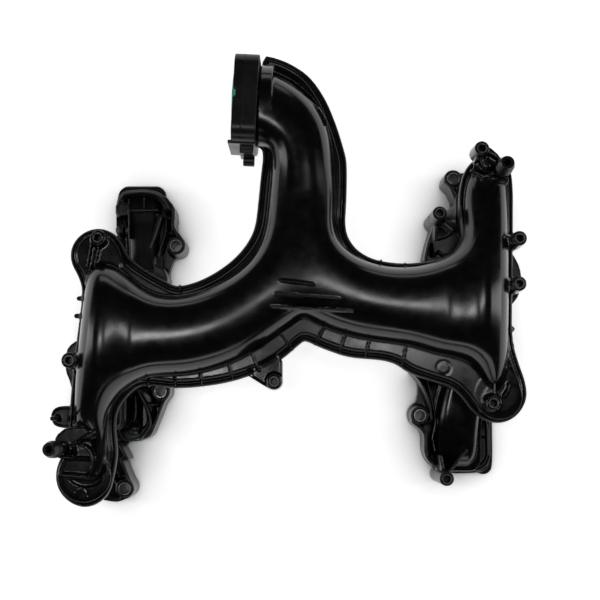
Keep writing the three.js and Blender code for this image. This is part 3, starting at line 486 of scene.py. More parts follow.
THROTTLE = np.array(Matrix.Translation(THROTTLE_AT) @ Matrix.Rotation(math.radians(-2.8), 4, "Z") @ Matrix.Rotation(-math.pi / 2, 4, "Y"))
T_OUT = THROTTLE[:3, 2]          # outward normal of the throttle face
BORE_R, T0, T1 = 28.5, 1.2, 21.2
INS_R, INS_BORE, INS_L = 4.9, 3.3, 13.0
STUB_Z = 42.0


def on_throttle(form_r, s0, s1, e=0.8):
    """Round form about the throttle axis between distances s0 and s1 out from the weld of the neck."""
    a = np.array(THROTTLE_AT) + T_OUT * s0
    b = np.array(THROTTLE_AT) + T_OUT * s1
    return rod(a, b, form_r, e=e)


def behind(S, s):
    """Keeps only what lies on the engine side of the plane at distance s out along the throttle axis."""
    X, Y, Z = S.grid()
    d = (X - THROTTLE_AT[0]) * T_OUT[0] + (Y - THROTTLE_AT[1]) * T_OUT[1] - s
    d = np.minimum(d, Y - (THROTTLE_AT[1] - 52.0))
    S.f = smax(S.f, d.astype(np.float32), 0.8)


# ------------------------------------------------------------------ the Y duct
QUICK = False
HS = 1.0 
HB = 1.0                       # pitch of the shell blocks
LO, HI = [-226.0, -222.0, 38.0], [226.0, 218.0, 122.0]


def duct_fields():
    X = np.arange(LO[0], HI[0] + HS, HS)[:, None, None]
    Y = np.arange(LO[1], HI[1] + HS, HS)[None, :, None]
    u, d = swell(rounded(CROWN, 2), X.astype(np.float32), Y.astype(np.float32), HS)
    x, y = X[:, :, 0], Y[:, :, 0]
    kl = 1 - ease(x, (-183.0, -49.4)[0], (-141.3, -49.4)[0])
    kr = ease(x, (143.3, -20.9)[0], (185.1, -20.9)[0]) * (1 - ease(y, (172.8, 46.2)[1], (173.3, 85.0)[1]) * 0.25)
    kn = ease(y, (10.3, 70.4)[1], (10.3, 123.9)[1])
    kup = 1.10 + 0.36 * kl + 0.30 * kr * (1 - kn) + 0.12 * kn * (1 - kr)
    klo = 1.10 + 0.55 * kl + 0.50 * kr + 0 * y
    return u, d, kup, klo


U, D2, KUP, KLO = duct_fields()


def on_grid(A, X, Y):
    """Value of a field of the XY block at the points X, Y of a finer or coarser block."""
    fx = np.clip((np.asarray(X, float).ravel() - LO[0]) / HS, 0, A.shape[0] - 1.001)
    fy = np.clip((np.asarray(Y, float).ravel() - LO[1]) / HS, 0, A.shape[1] - 1.001)
    ix, iy = fx.astype(int), fy.astype(int)
    tx, ty = (fx - ix)[:, None], (fy - iy)[None, :]
    a = A[np.ix_(ix, iy)] * (1 - tx) * (1 - ty) + A[np.ix_(ix + 1, iy)] * tx * (1 - ty)
    b = A[np.ix_(ix, iy + 1)] * (1 - tx) * ty + A[np.ix_(ix + 1, iy + 1)] * tx * ty
    return a + b


# ------------------------------------------------------------------ finishes


def new_material(name):
    m = bpy.data.materials.new(name)
    m.use_nodes = True
    nt = m.node_tree
    nt.nodes.clear()
    out = nt.nodes.new("ShaderNodeOutputMaterial")
    bs = nt.nodes.new("ShaderNodeBsdfPrincipled")
    nt.links.new(bs.outputs["BSDF"], out.inputs["Surface"])
    tc = nt.nodes.new("ShaderNodeTexCoord")
    return m, nt, bs, tc.outputs["Object"]


def noise(nt, vec, scale, detail=4.0, rough=0.55, distort=0.0):
    n = nt.nodes.new("ShaderNodeTexNoise")
    n.inputs["Scale"].default_value = scale
    n.inputs["Detail"].default_value = detail
    n.inputs["Roughness"].default_value = rough
    n.inputs["Distortion"].default_value = distort
    nt.links.new(vec, n.inputs["Vector"])
    return n.outputs["Fac"]


def remap(nt, val, a, b, c, d):
    n = nt.nodes.new("ShaderNodeMapRange")
    n.inputs["From Min"].default_value = a
    n.inputs["From Max"].default_value = b
    n.inputs["To Min"].default_value = c
    n.inputs["To Max"].default_value = d
    nt.links.new(val, n.inputs["Value"])
    return n.outputs["Result"]


def maths(nt, op, a, b):
    n = nt.nodes.new("ShaderNodeMath")
    n.operation = op
    for i, v in enumerate((a, b)):
        if isinstance(v, (int, float)):
            n.inputs[i].default_value = v
        else:
            nt.links.new(v, n.inputs[i])
    return n.outputs[0]


def tint(nt, fac, c0, c1):
    n = nt.nodes.new("ShaderNodeMix")
    n.data_type = "RGBA"
    nt.links.new(fac, n.inputs["Factor"])
    n.inputs["A"].default_value = (*c0, 1)
    n.inputs["B"].default_value = (*c1, 1)
    return n.outputs["Result"]


def stretched(nt, vec, scale):
    n = nt.nodes.new("ShaderNodeMapping")
    n.inputs["Scale"].default_value = scale
    nt.links.new(vec, n.inputs["Vector"])
    return n.outputs["Vector"]


def plastic(name, base, lift, rough_lo, rough_hi, grain, spec=0.5):
    """Glass-filled nylon: fine mould grain, slow changes of gloss, flow streaks, faint dust specks and rubbed edges."""
    m, nt, bs, v = new_material(name)
    slow = noise(nt, v, 26.0, 3.0, 0.5)
    patch = noise(nt, v, 95.0, 5.0, 0.6, 0.4)
    fine = noise(nt, v, 1500.0, 3.0, 0.6)
    fibre = noise(nt, stretched(nt, v, (1.0, 6.0, 2.0)), 320.0, 3.0, 0.6, 0.8)
    geo = nt.nodes.new("ShaderNodeNewGeometry")
    edge = remap(nt, geo.outputs["Pointiness"], 0.515, 0.60, 0.0, 1.0)
    r = remap(nt, slow, 0.3, 0.7, rough_lo, rough_hi)
    r = maths(nt, "ADD", r, remap(nt, patch, 0.3, 0.7, -0.035, 0.035))
    r = maths(nt, "ADD", r, remap(nt, fine, 0.3, 0.7, -0.02, 0.02))
    r = maths(nt, "ADD", r, maths(nt, "MULTIPLY", edge, -0.05))
    nt.links.new(r, bs.inputs["Roughness"])
    speck = remap(nt, noise(nt, v, 900.0, 2.0, 0.5), 0.62, 0.78, 0.0, 1.0)
    mixf = maths(nt, "ADD", maths(nt, "MULTIPLY", remap(nt, patch, 0.35, 0.75, 0.0, 0.5), 1.0), maths(nt, "MULTIPLY", speck, 0.35))
    mixf = maths(nt, "ADD", mixf, maths(nt, "MULTIPLY", edge, 0.45))
    nt.links.new(tint(nt, mixf, base, lift), bs.inputs["Base Color"])
    bs.inputs["Specular IOR Level"].default_value = spec
    b1 = nt.nodes.new("ShaderNodeBump")
    b1.inputs["Strength"].default_value = grain
    b1.inputs["Distance"].default_value = 0.00006
    nt.links.new(fine, b1.inputs["Height"])
    b2 = nt.nodes.new("ShaderNodeBump")
    b2.inputs["Strength"].default_value = grain * 0.45
    b2.inputs["Distance"].default_value = 0.00018
    nt.links.new(fibre, b2.inputs["Height"])
    nt.links.new(b1.outputs["Normal"], b2.inputs["Normal"])
    b3 = nt.nodes.new("ShaderNodeBump")
    b3.inputs["Strength"].default_value = 0.04
    b3.inputs["Distance"].default_value = 0.0012
    nt.links.new(noise(nt, v, 42.0, 2.0, 0.5), b3.inputs["Height"])
    nt.links.new(b2.outputs["Normal"], b3.inputs["Normal"])
    nt.links.new(b3.outputs["Normal"], bs.inputs["Normal"])
    MATERIAL[name] = m


def metal(name, c0, c1, rough_lo, rough_hi, streak):
    m, nt, bs, v = new_material(name)
    bs.inputs["Metallic"].default_value = 1.0
    a = noise(nt, v, 160.0, 4.0, 0.6, 0.5)
    b = noise(nt, stretched(nt, v, streak), 900.0, 3.0, 0.6)
    nt.links.new(tint(nt, remap(nt, a, 0.3, 0.7, 0.0, 1.0), c0, c1), bs.inputs["Base Color"])
    nt.links.new(maths(nt, "ADD", remap(nt, a, 0.3, 0.7, rough_lo, rough_hi), remap(nt, b, 0.3, 0.7, -0.05, 0.05)), bs.inputs["Roughness"])
    bp = nt.nodes.new("ShaderNodeBump")
    bp.inputs["Strength"].default_value = 0.25
    bp.inputs["Distance"].default_value = 0.00005
    nt.links.new(b, bp.inputs["Height"])
    nt.links.new(bp.outputs["Normal"], bs.inputs["Normal"])
    MATERIAL[name] = m


def rubber(name, c0, c1):
    m, nt, bs, v = new_material(name)
    a = noise(nt, v, 140.0, 4.0, 0.6, 0.3)
    b = noise(nt, v, 1300.0, 3.0, 0.6)
    nt.links.new(tint(nt, remap(nt, a, 0.3, 0.7, 0.0, 1.0), c0, c1), bs.inputs["Base Color"])
    nt.links.new(maths(nt, "ADD", remap(nt, a, 0.3, 0.7, 0.42, 0.6), remap(nt, b, 0.3, 0.7, -0.05, 0.05)), bs.inputs["Roughness"])
    bp = nt.nodes.new("ShaderNodeBump")
    bp.inputs["Strength"].default_value = 0.35
    bp.inputs["Distance"].default_value = 0.00006
    nt.links.new(b, bp.inputs["Height"])
    nt.links.new(bp.outputs["Normal"], bs.inputs["Normal"])
    MATERIAL[name] = m


plastic("black_nylon_gloss", (0.0030, 0.0030, 0.0033), (0.010, 0.010, 0.0108), 0.15, 0.23, 0.10, 0.5)
plastic("black_nylon", (0.004, 0.004, 0.0043), (0.013, 0.013, 0.014), 0.28, 0.42, 0.22, 0.45)
metal("black_steel", (0.085, 0.084, 0.082), (0.15, 0.147, 0.142), 0.30, 0.46, (1.0, 1.0, 14.0))
metal("zinc_steel", (0.46, 0.46, 0.47), (0.33, 0.33, 0.34), 0.28, 0.44, (1.0, 1.0, 12.0))
rubber("green_rubber", (0.10, 0.50, 0.27), (0.14, 0.60, 0.34))


# ------------------------------------------------------------------ the two duct shells
def boss_form(x, y, z0, z1, r, e=1.0):
    """Screw boss with a little draft and a chamfered top."""
    return [cyl(x, y, z0, z1, r + 1.2, r, e)]


def boss_bore(x, y, z1):
    return [cyl(x, y, z1 - INS_L - 0.6, z1 + 3, INS_R + 0.28, e=0.2), cyl(x, y, z1 - 1.0, z1 + 3, INS_R + 0.3, INS_R + 1.8, e=0.3)]


RIB_LINES = [
    [(-131.0, -91.1), (-132.3, -103.3)], [(-107.4, -91.1), (-106.4, -104.2)], [(-83.9, -87.3), (-81.4, -102.3)],
    [(-57.6, -79.8), (-52.8, -95.8)], [(-35.9, -70.3), (-28.3, -87.3)], [(-7.6, -54.3), (3.7, -68.5)],
    [(34.0, -45.8), (24.5, -63.7)], [(53.8, -51.4), (47.2, -72.2)], [(75.5, -60.0), (71.7, -75.1)], [(110.5, -61.9), (106.5, -81.7)],
    [(-101.5, -20.1), (-103.6, -6.8)], [(86.4, 9.5), (87.4, 17.1)], [(110.1, 7.5), (110.2, 14.2)],
]
CROTCH = [([(-15.3, -29.8), (21.3, -31.8), (58.9, -34.1)], 117.4), ([(-11.6, -18.5), (14.9, -20.4), (46.1, -23.1)], 117.4), ([(-8.0, -6.3), (7.6, -7.7), (22.8, -9.8)], 117.0)]


def upper_shell():
    S = Solid([LO[0], LO[1], 78.0], [HI[0], HI[1], 126.0], HS)
    X, Y, Z = S.grid()
    skin = dome(U, Z - WELD, KUP[:, :, None], 37.0, HS)
    S.f = np.minimum(skin, 8.0)
    inner = skin + WALL
    del skin
    # weld rim: a flat land and a foot bead under the crown
    S.add(poly(RIM, 80.0, 82.6, e=0.5, grow=-2.6, soft=2), k=2.0)
    S.add(poly(RIM, 80.0, 84.9, e=0.5, grow=-6.0, soft=2), k=1.6)
    # collar of the throttle end
    S.add(on_throttle(BORE_R + 8.8, -15.0, -2.6, e=1.6), k=2.6)
    # the ridge outside the elbow
    for path, z in (([(-22.2, 199.4), (-15.5, 198.0), (-5.9, 193.7), (4.6, 187.8), (19.0, 175.4), (27.0, 165.0), (33.3, 153.6)], 92.0),
                    ([(-22.0, 193.3), (-15.4, 191.1), (0.8, 183.9), (14.8, 171.6), (28.9, 159.3), (36.0, 145.3)], 96.0)):
        S.add(wall(spline(path, 4), 1.5, 81, z, e=0.5), k=1.0)
    # crotch ribs, level on top, standing in the valley of the Y
    for path, top in CROTCH:
        S.add(wall(spline(path, 6), 1.5, 90, top, e=0.5), k=0.7)
    for p in RIB_LINES:
        S.add(wall(p, 1.5, 80.5, 86.0, e=0.4), k=0.8)
    # bosses and the webs that carry them
    for k, (x, y, z0, z1, r, ins) in BOSS.items():
        S.add(boss_form(x, y, 80.0, z1, r), k=2.2)
    slope = lambda a, b, za, zb: (lambda X, Y: za + (zb - za) * np.clip(((X - a[0]) * (b[0] - a[0]) + (Y - a[1]) * (b[1] - a[1])) / ((b[0] - a[0]) ** 2 + (b[1] - a[1]) ** 2), 0, 1))
    for k, to, w, za, zb in [("left_post", (-186.2, -78.8), 7.5, 97, 108), ("right_post_front", (201.3, 36.6), 5.5, 97, 103), ("right_post_rear", (200.6, -4.7), 5.5, 97, 103)]:
        a = BOSS[k][:2]
        S.add(wall([a, to], w, 80, slope(a, to, za, zb), e=1.5), k=3.0)
        S.add(wall([a, to], 2.2, 80, slope(a, to, za + 5, zb + 2), e=0.8), k=1.5)
    a = BOSS["right_end_front"][:2]
    S.add(poly([(178.0, 123.0), (188.6, 126.9), (201.8, 115.2), (207.4, 101.6), (207.1, 88.1), (176.5, 86.1), (172.9, 97.7), (176.9, 110.4)], 80, 90.5, e=1.4), k=2.0)
    S.add(wall([a, (186.4, 105.5)], 8, 80, 99, e=2), k=2.5)
    S.add(wall([(176.2, 109.5), (185.9, 120.1), (198.2, 112.4), (200.8, 98.8)], 2.2, 80, 98.5, e=0.7), k=1.2)
    S.add(wall([(172.3, 100.8), (181.7, 95.0), (203.6, 96.9)], 2.0, 80, 99.0, e=0.7), k=1.2)
    S.add(poly([(192.9, 92.9), (206.3, 93.9), (207.1, 87.1), (191.8, 86.1)], 80, 100.5, e=1.0), k=1.5)
    # ends of the plenums: flat brims and two thin ribs each
    S.add(poly([(-192.1, 41.4), (-173.0, 41.4), (-161.4, 28.9), (-157.3, 7.8), (-180.1, 5.9), (-199.2, 9.7), (-202.4, 27.0)], 80, 85.2, e=0.8), k=1.0)
    S.add(poly([(185.8, -104.2), (204.0, -83.5), (212.4, -89.2), (217.8, -104.2), (213.8, -119.2), (200.4, -128.6), (185.4, -126.7), (179.9, -115.5)], 80, 85.0, e=0.8), k=1.0)
    for p, z in [([(-187.1, 32.3), (-190.5, 10.4)], 92.5), ([(-179.5, 29.4), (-183.9, 9.5)], 92.5),
                 ([(191.9, -98.6), (191.7, -111.7)], 92.5), ([(205.9, -100.5), (204.9, -106.1), (201.1, -111.7)], 91)]:
        S.add(wall(p, 1.7, 80, z, e=0.5), k=0.8)
    # centre ear: a triangle with a raised edge round a sunk web
    ear = [(-39.1, -92.0), (-20.7, -104.2), (-13.2, -105.2), (-7.5, -100.5), (-6.0, -94.8), (-6.1, -76.0), (-18.0, -70.3)]
    S.add(poly(ear, 80, 83.0, e=0.6), k=1.2)
    S.add(wall([(-37.6, -92.5), (-19.2, -103.8)], 1.5, 80, 86.5, e=0.4), k=0.8)
    S.add(wall([(-6.9, -96.7), (-6.8, -78.9)], 1.5, 80, 86.5, e=0.4), k=0.8)
    # left hose union: wedge block, collar, half-pipe cradle, round brim with its recess
    S.add(poly([(-218.3, -149.7), (-206.0, -139.6), (-180.8, -141.4), (-179.7, -152.5), (-195.5, -152.5), (-201.0, -157.6), (-215.9, -157.6)], 80, 91.0, e=0.7), k=0.8)
    base, top = NIPPLE["left_hose_nipple"]
    S.add(rod(base, top, 9.2, 8.2, e=1.0, s0=-3.0, s1=9.0), k=1.0)
    S.add(poly([(-208.0, -155.4), (-198.7, -155.4), (-198.4, -169.2), (-213.3, -169.2)], 80, 87.5, e=0.8), k=1.0)
    S.add(wall([(-196.9, -155.2), (-181.3, -144.1)], 1.8, 80, 93.5, e=0.5), k=0.8)
    S.add(wall([(-213.4, -168.5), (-183.2, -169.9)], 2.0, 80, 93.5, e=0.5), k=0.8)
    S.add(wall([(-213.5, -183.8), (-189.3, -185.7)], 2.0, 80, 90.5, e=0.5), k=0.8)
    S.add(wall(spline([(-189.9, -157.8), (-184.8, -161.1), (-181.9, -168.9), (-182.2, -178.0), (-186.7, -185.4)], 3), 2.4, 80, 96.5, e=0.7), k=1.0)
    S.add(cyl(*(-190.9, -185.5), 80, 84.9, 25.0, e=0.5), k=0.5)
    S.add(cyl(*(197.0, -111.2), 80, 84.9, 22.5, e=0.5), k=0.5)
    S.cut([poly([(-206.9, -187.8), (-187.3, -189.2), (-175.2, -186.9), (-172.6, -173.1), (-170.6, -182.3), (-175.1, -192.5), (-185.3, -196.6), (-197.4, -195.2)], 82.4, 90, e=0.5)], k=0.5)
    base2, top2 = NIPPLE["right_hose_nipple"]
    S.add(cyl(base2[0], base2[1], 80, 95, 9.0, 8.2, e=1.2), k=1.5)
    S.add(ring(base2[0], base2[1], 92, 96.2, 6.0, 8.2, e=0.6), k=0.6)
    # openings
    S.f = smax(S.f, -inner, 0.6)
    del inner
    S.cut(on_throttle(BORE_R, -12.6, 8, e=0.2), k=0.4)
    S.cut([rod(base, top, 4.6 + GAP, s0=-1, s1=90, e=0.2), rod(base2, top2, 4.6 + GAP, s0=-1, s1=90, e=0.2)], k=0.4)
    # the trough of the cradle
    S.cut(rod([*(-215.1, -176.5), 94], [*(-183.2, -177.4), 94], 8.0, e=0.4), k=0.6)
    for k, (x, y, z0, z1, r, ins) in BOSS.items():
        S.cut(boss_bore(x, y, z1), k=0.3)
    # moulder's round marks
    S.cut([ring(*(-193.4, -203.0), 84.3, 87, 5.9, 6.7, e=0.1)], k=0.2)
    S.cut([ring(*(145.5, -85.5), 84.3, 87, 5.9, 6.7, e=0.1)], k=0.2)
    behind(S, -2.6)
    S.clip_z(z0=80.15)
    return S.mesh("upper_shell_skin")


def lower_shell():
    S = Solid([LO[0], LO[1], 41.0], [HI[0], HI[1], 106.0], HS)
    X, Y, Z = S.grid()
    skin = dome(U, (WELD - Z), KLO[:, :, None], 36.0, HS)
    skin = np.where(Z > WELD, smax(skin, (Z - WELD) * 1.0, 0), skin).astype(np.float32)
    S.f = np.minimum(skin, 8.0)
    inner = skin + WALL
    del skin
    S.add(poly(RIM, 76.0, 79.85, e=0.8, grow=1.2, soft=2), k=3.2)
    # upstanding lip outside the upper rim
    edge = rounded(RIM, 2)
    lip = (lambda X, Y, Z: slab(np.abs(sdf_poly(edge, X, Y) + 0.5) - 1.15, Z, 78.0, 82.0, 0.5)), [edge[:, 0].min() - 3, edge[:, 1].min() - 3, 78], [edge[:, 0].max() + 3, edge[:, 1].max() + 3, 83]
    S.add(lip, k=0.8)
    S.add(on_throttle(BORE_R + 8.8, -15.0, -2.6, e=1.6), k=2.6)
    # ribs under the rim, all round
    under = rounded(RIM, 1)
    step = 0
    for i in range(0, len(under), 1):
        a, b = under[i], under[(i + 1) % len(under)]
        step += np.linalg.norm(b - a)
        if step > 23:
            step = 0
            t = (b - a) / max(np.linalg.norm(b - a), 1e-6)
            n = np.array([t[1], -t[0]])
            if sdf_poly(RIM, np.array([[a[0] + n[0]]]), np.array([[a[1] + n[1]]]))[0, 0] > 0:
                n = -n
            S.add(wall([a + n * 1.5, a + n * 8], 1.8, 73.6, 77.5, e=0.6), k=1.5)
    # runner mouths in the plenum floors
    for x, y in LEFT_STUBS + RIGHT_STUBS:
        S.add(rect(x, y, 44, 48, 9, 42.15, 64, e=1.0), k=4.0)
        S.add(rect(x, y, 48, 52, 10, 42.15, 46.5, e=0.8), k=1.2)
    # outer lobes, tab with a peg, ties down to the flanges
    S.add(poly([(-197.3, -56.0), (-208.8, -60.8), (-214.9, -69.5), (-215.1, -86.8), (-209.1, -100.3), (-206.8, -115.6), (-207.3, -140.4), (-186.2, -144.3), (-187.6, -57.9)], 54, 66, e=1.6), k=3)
    S.add(poly([(203.1, 35.6), (212.8, 29.7), (218.5, 21.8), (223.1, 12.1), (224.8, -1.6), (221.7, -15.3), (215.7, -23.0), (209.8, -28.9), (194.3, -28.9), (195.3, 35.6)], 54, 66, e=1.6), k=3)
    S.add(wall([(-208.3, -78.1), (-193.8, -78.8)], 7, 56, 79.85, e=1.5), k=3)
    S.add(wall([(220.4, 37.6), (204.2, 36.6)], 6, 58, 79.85, e=1.5), k=3)
    S.add(wall([(219.6, -5.6), (203.5, -5.6)], 6, 58, 79.85, e=1.5), k=3)
    for k in ("left_post", "right_post_front", "right_post_rear"):
        x, y, z0, z1, r, ins = BOSS[k]
        S.add(cyl(x, y, 62, 79.85, r, r + 1, e=1.2), k=2.5)
    S.add(poly([(-199.5, -121.2), (-216.6, -121.2), (-223.1, -124.9), (-224.9, -131.5), (-221.9, -139.0), (-214.3, -141.8), (-199.1, -142.7)], 71, 77.6, e=1.0), k=1.5)
    S.add(wall(spline([(-201.2, -122.1), (-216.3, -122.5), (-221.9, -125.8), (-223.2, -131.5), (-220.7, -138.0), (-214.1, -140.4), (-200.8, -141.3)], 3), 1.8, 72, 79.4, e=0.6), k=1.0)
    S.add(cyl(*(-217.8, -132.3), 72, 103, 2.9, 2.1, e=0.8), k=1.2)
    for p in [[(-200.0, -19.3), (-193.4, -19.3)], [(-202.1, -36.0), (-195.0, -36.0)]]:
        S.add(wall(p, 4.5, 74, 79.85, e=1.0), k=1.5)
    for p in [[(205.0, -48.4), (211.7, -48.4)], [(204.7, -64.5), (210.4, -64.5)]]:
        S.add(wall(p, 5, 74, 79.85, e=1.0), k=1.5)
    # the lip's share of the ribs that cross the rim
    for p in RIB_LINES:
        S.add(wall([p[1], [p[1][0] * 0.8 + p[0][0] * 0.2, p[1][1] * 0.8 + p[0][1] * 0.2]], 1.5, 78, 82.6, e=0.4), k=0.6)
    x, y = BOSS["centre_ear"][:2]
    S.add(cyl(x, y, 70, 79.85, 7.6, 8.4, e=1.2), k=2.0)
    S.add(poly([(-38.8, -91.0), (-20.8, -104.2), (-13.3, -105.1), (-7.6, -100.4), (-6.2, -94.8), (-6.2, -75.9), (-18.1, -70.2)], 74, 79.85, e=0.8), k=1.5)
    # keep out of the upper shell's rim
    S.f = smax(S.f, -smax((sdf_poly(rounded(RIM, 2), X, Y) + 2.6 - GAP), (79.85 - Z), 0.0).astype(np.float32), 0.0)
    S.f = smax(S.f, -inner, 0.6)
    del inner
    S.cut(on_throttle(BORE_R, -12.6, 8, e=0.2), k=0.4)
    for x, y in LEFT_STUBS + RIGHT_STUBS:
        S.cut(rect(x, y, 34, 40, 8, 30, 62, e=0.3), k=1.2)
    behind(S, -2.6)
    S.clip_z(z0=42.15)
    return S.mesh("lower_shell_skin")


def inset_outline(P, d):
    """Outline moved inwards by d, thinned where it folds."""
    Q = rounded(P, 1)
    a = np.roll(Q, 1, 0)
    b = np.roll(Q, -1, 0)
    t = b - a
    t /= np.maximum(np.linalg.norm(t, axis=1), 1e-6)[:, None]
    area = 0.5 * np.sum(Q[:, 0] * np.roll(Q[:, 1], -1) - np.roll(Q[:, 0], -1) * Q[:, 1])
    n = np.stack([-t[:, 1], t[:, 0]], 1) * (1 if area > 0 else -1)
    R = Q + n * d
    dd = sdf_poly(P, R[:, :1].astype(np.float32), R[:, 1:].astype(np.float32))[:, 0]
    return R[dd < -d * 0.93]


# ------------------------------------------------------------------ runners and head flanges


def tube_sdf(rows, X, Y, Z, grow=0.0):
    """Runner of rounded-rectangle section. Each row is centre x, y, z, half width, half height, tilt in degrees."""
    R = spline([[*r[:5], r[5]] for r in rows], 2.0)
    y, z = np.broadcast_arrays(Y[0, :, :], Z[0, :, :])
    best = np.full(y.shape, 1e12)
    at = np.zeros(y.shape)
    for i in range(len(R) - 1):
        a, b = R[i, 1:3], R[i + 1, 1:3]
        e = b - a
        l2 = max(float(e @ e), 1e-9)
        t = np.clip(((y - a[0]) * e[0] + (z - a[1]) * e[1]) / l2, 0, 1)
        d = (y - a[0] - e[0] * t) ** 2 + (z - a[1] - e[1] * t) ** 2
        at = np.where(d < best, i + t, at)
        best = np.minimum(best, d)
    k = np.arange(len(R))
    cx, cy, cz, hw, hh, tl = [np.interp(at.ravel(), k, R[:, j]).reshape(at.shape) for j in range(6)]
    tl = np.radians(tl)
    pv = (y - cy) * np.cos(tl) + (z - cz) * np.sin(tl)
    pw = -(y - cy) * np.sin(tl) + (z - cz) * np.cos(tl)
    side = np.where(np.abs(pv) > 0.02, np.sign(pv), 1.0)
    lateral = np.sqrt(best)
    ends = (at <= 0.001) | (at >= len(R) - 1.001)
    lateral = np.where(ends, np.abs(pv), lateral)
    over = np.where(ends, np.abs(pw), 0.0)
    r = np.minimum(11.0, hh * 0.75)
    qx = np.abs(X - cx[None]) - (hw - r)[None]
    qv = (lateral - (hh - r))[None]
    d = np.sqrt(np.maximum(qx, 0) ** 2 + np.maximum(qv, 0) ** 2) + np.minimum(np.maximum(qx, qv), 0) - r[None] - grow
    return np.maximum(d, over[None] - 1.0).astype(np.float32)


def level_sdf(port, stub, X, Y, Z, grow=0.0):
    t = np.clip((Z - 4) / (STUB_Z - 4), 0, 1)
    e = t * t * (3 - 2 * t)
    cx, cy = port[0] + (stub[0] - port[0]) * e, port[1] + (stub[1] - port[1]) * e
    hw, hh = 21.0, 24.0
    r = 13.0
    qx, qy = np.abs(X - cx) - (hw - r), np.abs(Y - cy) - (hh - r)
    d = np.sqrt(np.maximum(qx, 0) ** 2 + np.maximum(qy, 0) ** 2) + np.minimum(np.maximum(qx, qy), 0) - r - grow
    return np.maximum(d * 0.8, np.maximum(-1 - Z, Z - STUB_Z + 0.15)).astype(np.float32)


def long_rows(port, stub):
    px, py = port
    sx, sy = stub
    d = math.copysign(1, sy - py)
    y = lambda k: py + (sy - py) * k
    x = lambda k: px + (sx - px) * k
    if px < 0:
        return [[px, py + 2, 3, 21, 24, 0], [px, py, 11, 20.5, 21.5, 14], [px + 1, py - 7, 16.5, 19, 16, 44], [-146.8, 58, 19.5, 16.5, 13.5, 76],
                [-146.2, 43, 22.5, 14.5, 13.5, 90], [-146.4, 24, 25, 13.5, 14, 90], [-150, 4, 29, 15.5, 16, 66], [sx, sy, 41.85, 21, 24, 0]]
    return [[px, py - d * 2, 3, 21, 24, 0], [px, py - d, 12, 21, 22.5, -d * 12], [x(0.02), y(0.12), 19, 21, 19, -d * 42], [x(0.08), y(0.28), 24, 21, 16.5, -d * 74],
            [x(0.25), y(0.50), 26, 21, 15, -d * 90], [x(0.55), y(0.72), 27, 21, 15.5, -d * 90], [x(0.85), y(0.90), 31, 21, 18, -d * 48], [sx, sy, 41.85, 21, 24, 0]]


def split(port, stub, Y):
    """Height of the slanted joint between an end runner and its cover."""
    return 20 + (Y - port[1]) * 7.0 / (stub[1] - port[1])


def bank(side, S, outline, ports, stubs, long_i, lugs):
    X, Y, Z = S.grid()
    S.add(poly(outline, 0.0, 12.0, e=0.9, soft=1), k=0)
    hollow = []
    for i, (p, s) in enumerate(zip(ports, stubs)):
        if i == long_i:
            rows = long_rows(p, s)
            outer = tube_sdf(rows, X, Y, Z)
            inner = tube_sdf([[rows[0][0], rows[0][1], rows[0][2] - 12, *rows[0][3:]]] + rows + [[rows[-1][0], rows[-1][1], rows[-1][2] + 12, *rows[-1][3:]]], X, Y, Z, -4.0)
        else:
            outer = level_sdf(p, s, X, Y, Z)
            inner = level_sdf(p, s, X, Y, Z, -4.0) if False else None
        S.f = smin(S.f, outer, 4.0)
        hollow.append((outer, inner))
    for x, y in lugs:
        S.add(cyl(x, y, 0, 35, LUG_R + 0.6, LUG_R, e=1.0), k=2.5)
    return hollow


LUG_R = 9.0


def cover_zone(port, stub, X, Y, Z):
    d = math.copysign(1, stub[1] - port[1])
    ya, yb = port[1] - d * 29, stub[1] - d * 27
    lo, hi = min(ya, yb), max(ya, yb)
    return np.maximum(lo - Y, Y - hi)


def close_bank(S, ports, stubs, long_i, lugs, hollow):
    X, Y, Z = S.grid()
    for i, (p, s) in enumerate(zip(ports, stubs)):
        if i == long_i:
            S.f = smax(S.f, -hollow[i][1], 0.8)
        else:
            inn = level_sdf(p, s, X, Y, np.clip(Z, 0, STUB_Z - 0.3), -4.0)
            S.f = smax(S.f, -inn, 0.8)
        S.cut(rect(p[0], p[1], 34, 40, 11, -5, 8, e=0.3), k=0.8)
        groove = rect(p[0], p[1], 46.6, 52.6, 17, -1, 3.0, e=0.2)
        tongue = rect(p[0], p[1], 37.4, 43.4, 13, -2, 4.0, e=0.2)
        S.cut(((lambda g, t: (lambda X, Y, Z: np.maximum(g(X, Y, Z), -t(X, Y, Z))))(groove[0], tongue[0]), groove[1], groove[2]), k=0.3)
    for x, y in lugs:
        S.cut(cyl(x, y, -2, 40, 6.1 + GAP, e=0.2), k=0.2)
        S.cut(cyl(x, y, 34.5, 37, 6.5, 7.3, e=0.2), k=0.2)
    S.clip_z(z0=0.0, z1=STUB_Z - 0.15)


def cells(S, outline, ports, lugs, depth, x0, x1, y0, y1, pitch=17.0):
    """Weight-saving pockets under a head flange, between the ports and the screw lugs."""
    inside = rounded(outline, 1)
    y = y0
    while y < y1:
        x = x0
        while x < x1:
            q = (np.array([[x]], np.float32), np.array([[y]], np.float32))
            if sdf_poly(inside, *q)[0, 0] < -9.0 and all(max(abs(x - p[0]) - 24, abs(y - p[1]) - 30) > 7.5 for p in ports) \
                    and all(math.hypot(x - l[0], y - l[1]) > LUG_R + 8.5 for l in lugs):
                S.cut(rect(x, y, pitch - 3.2, pitch - 3.2, 2.5, -2, depth, e=0.4), k=0.8)
            x += pitch
        y += pitch


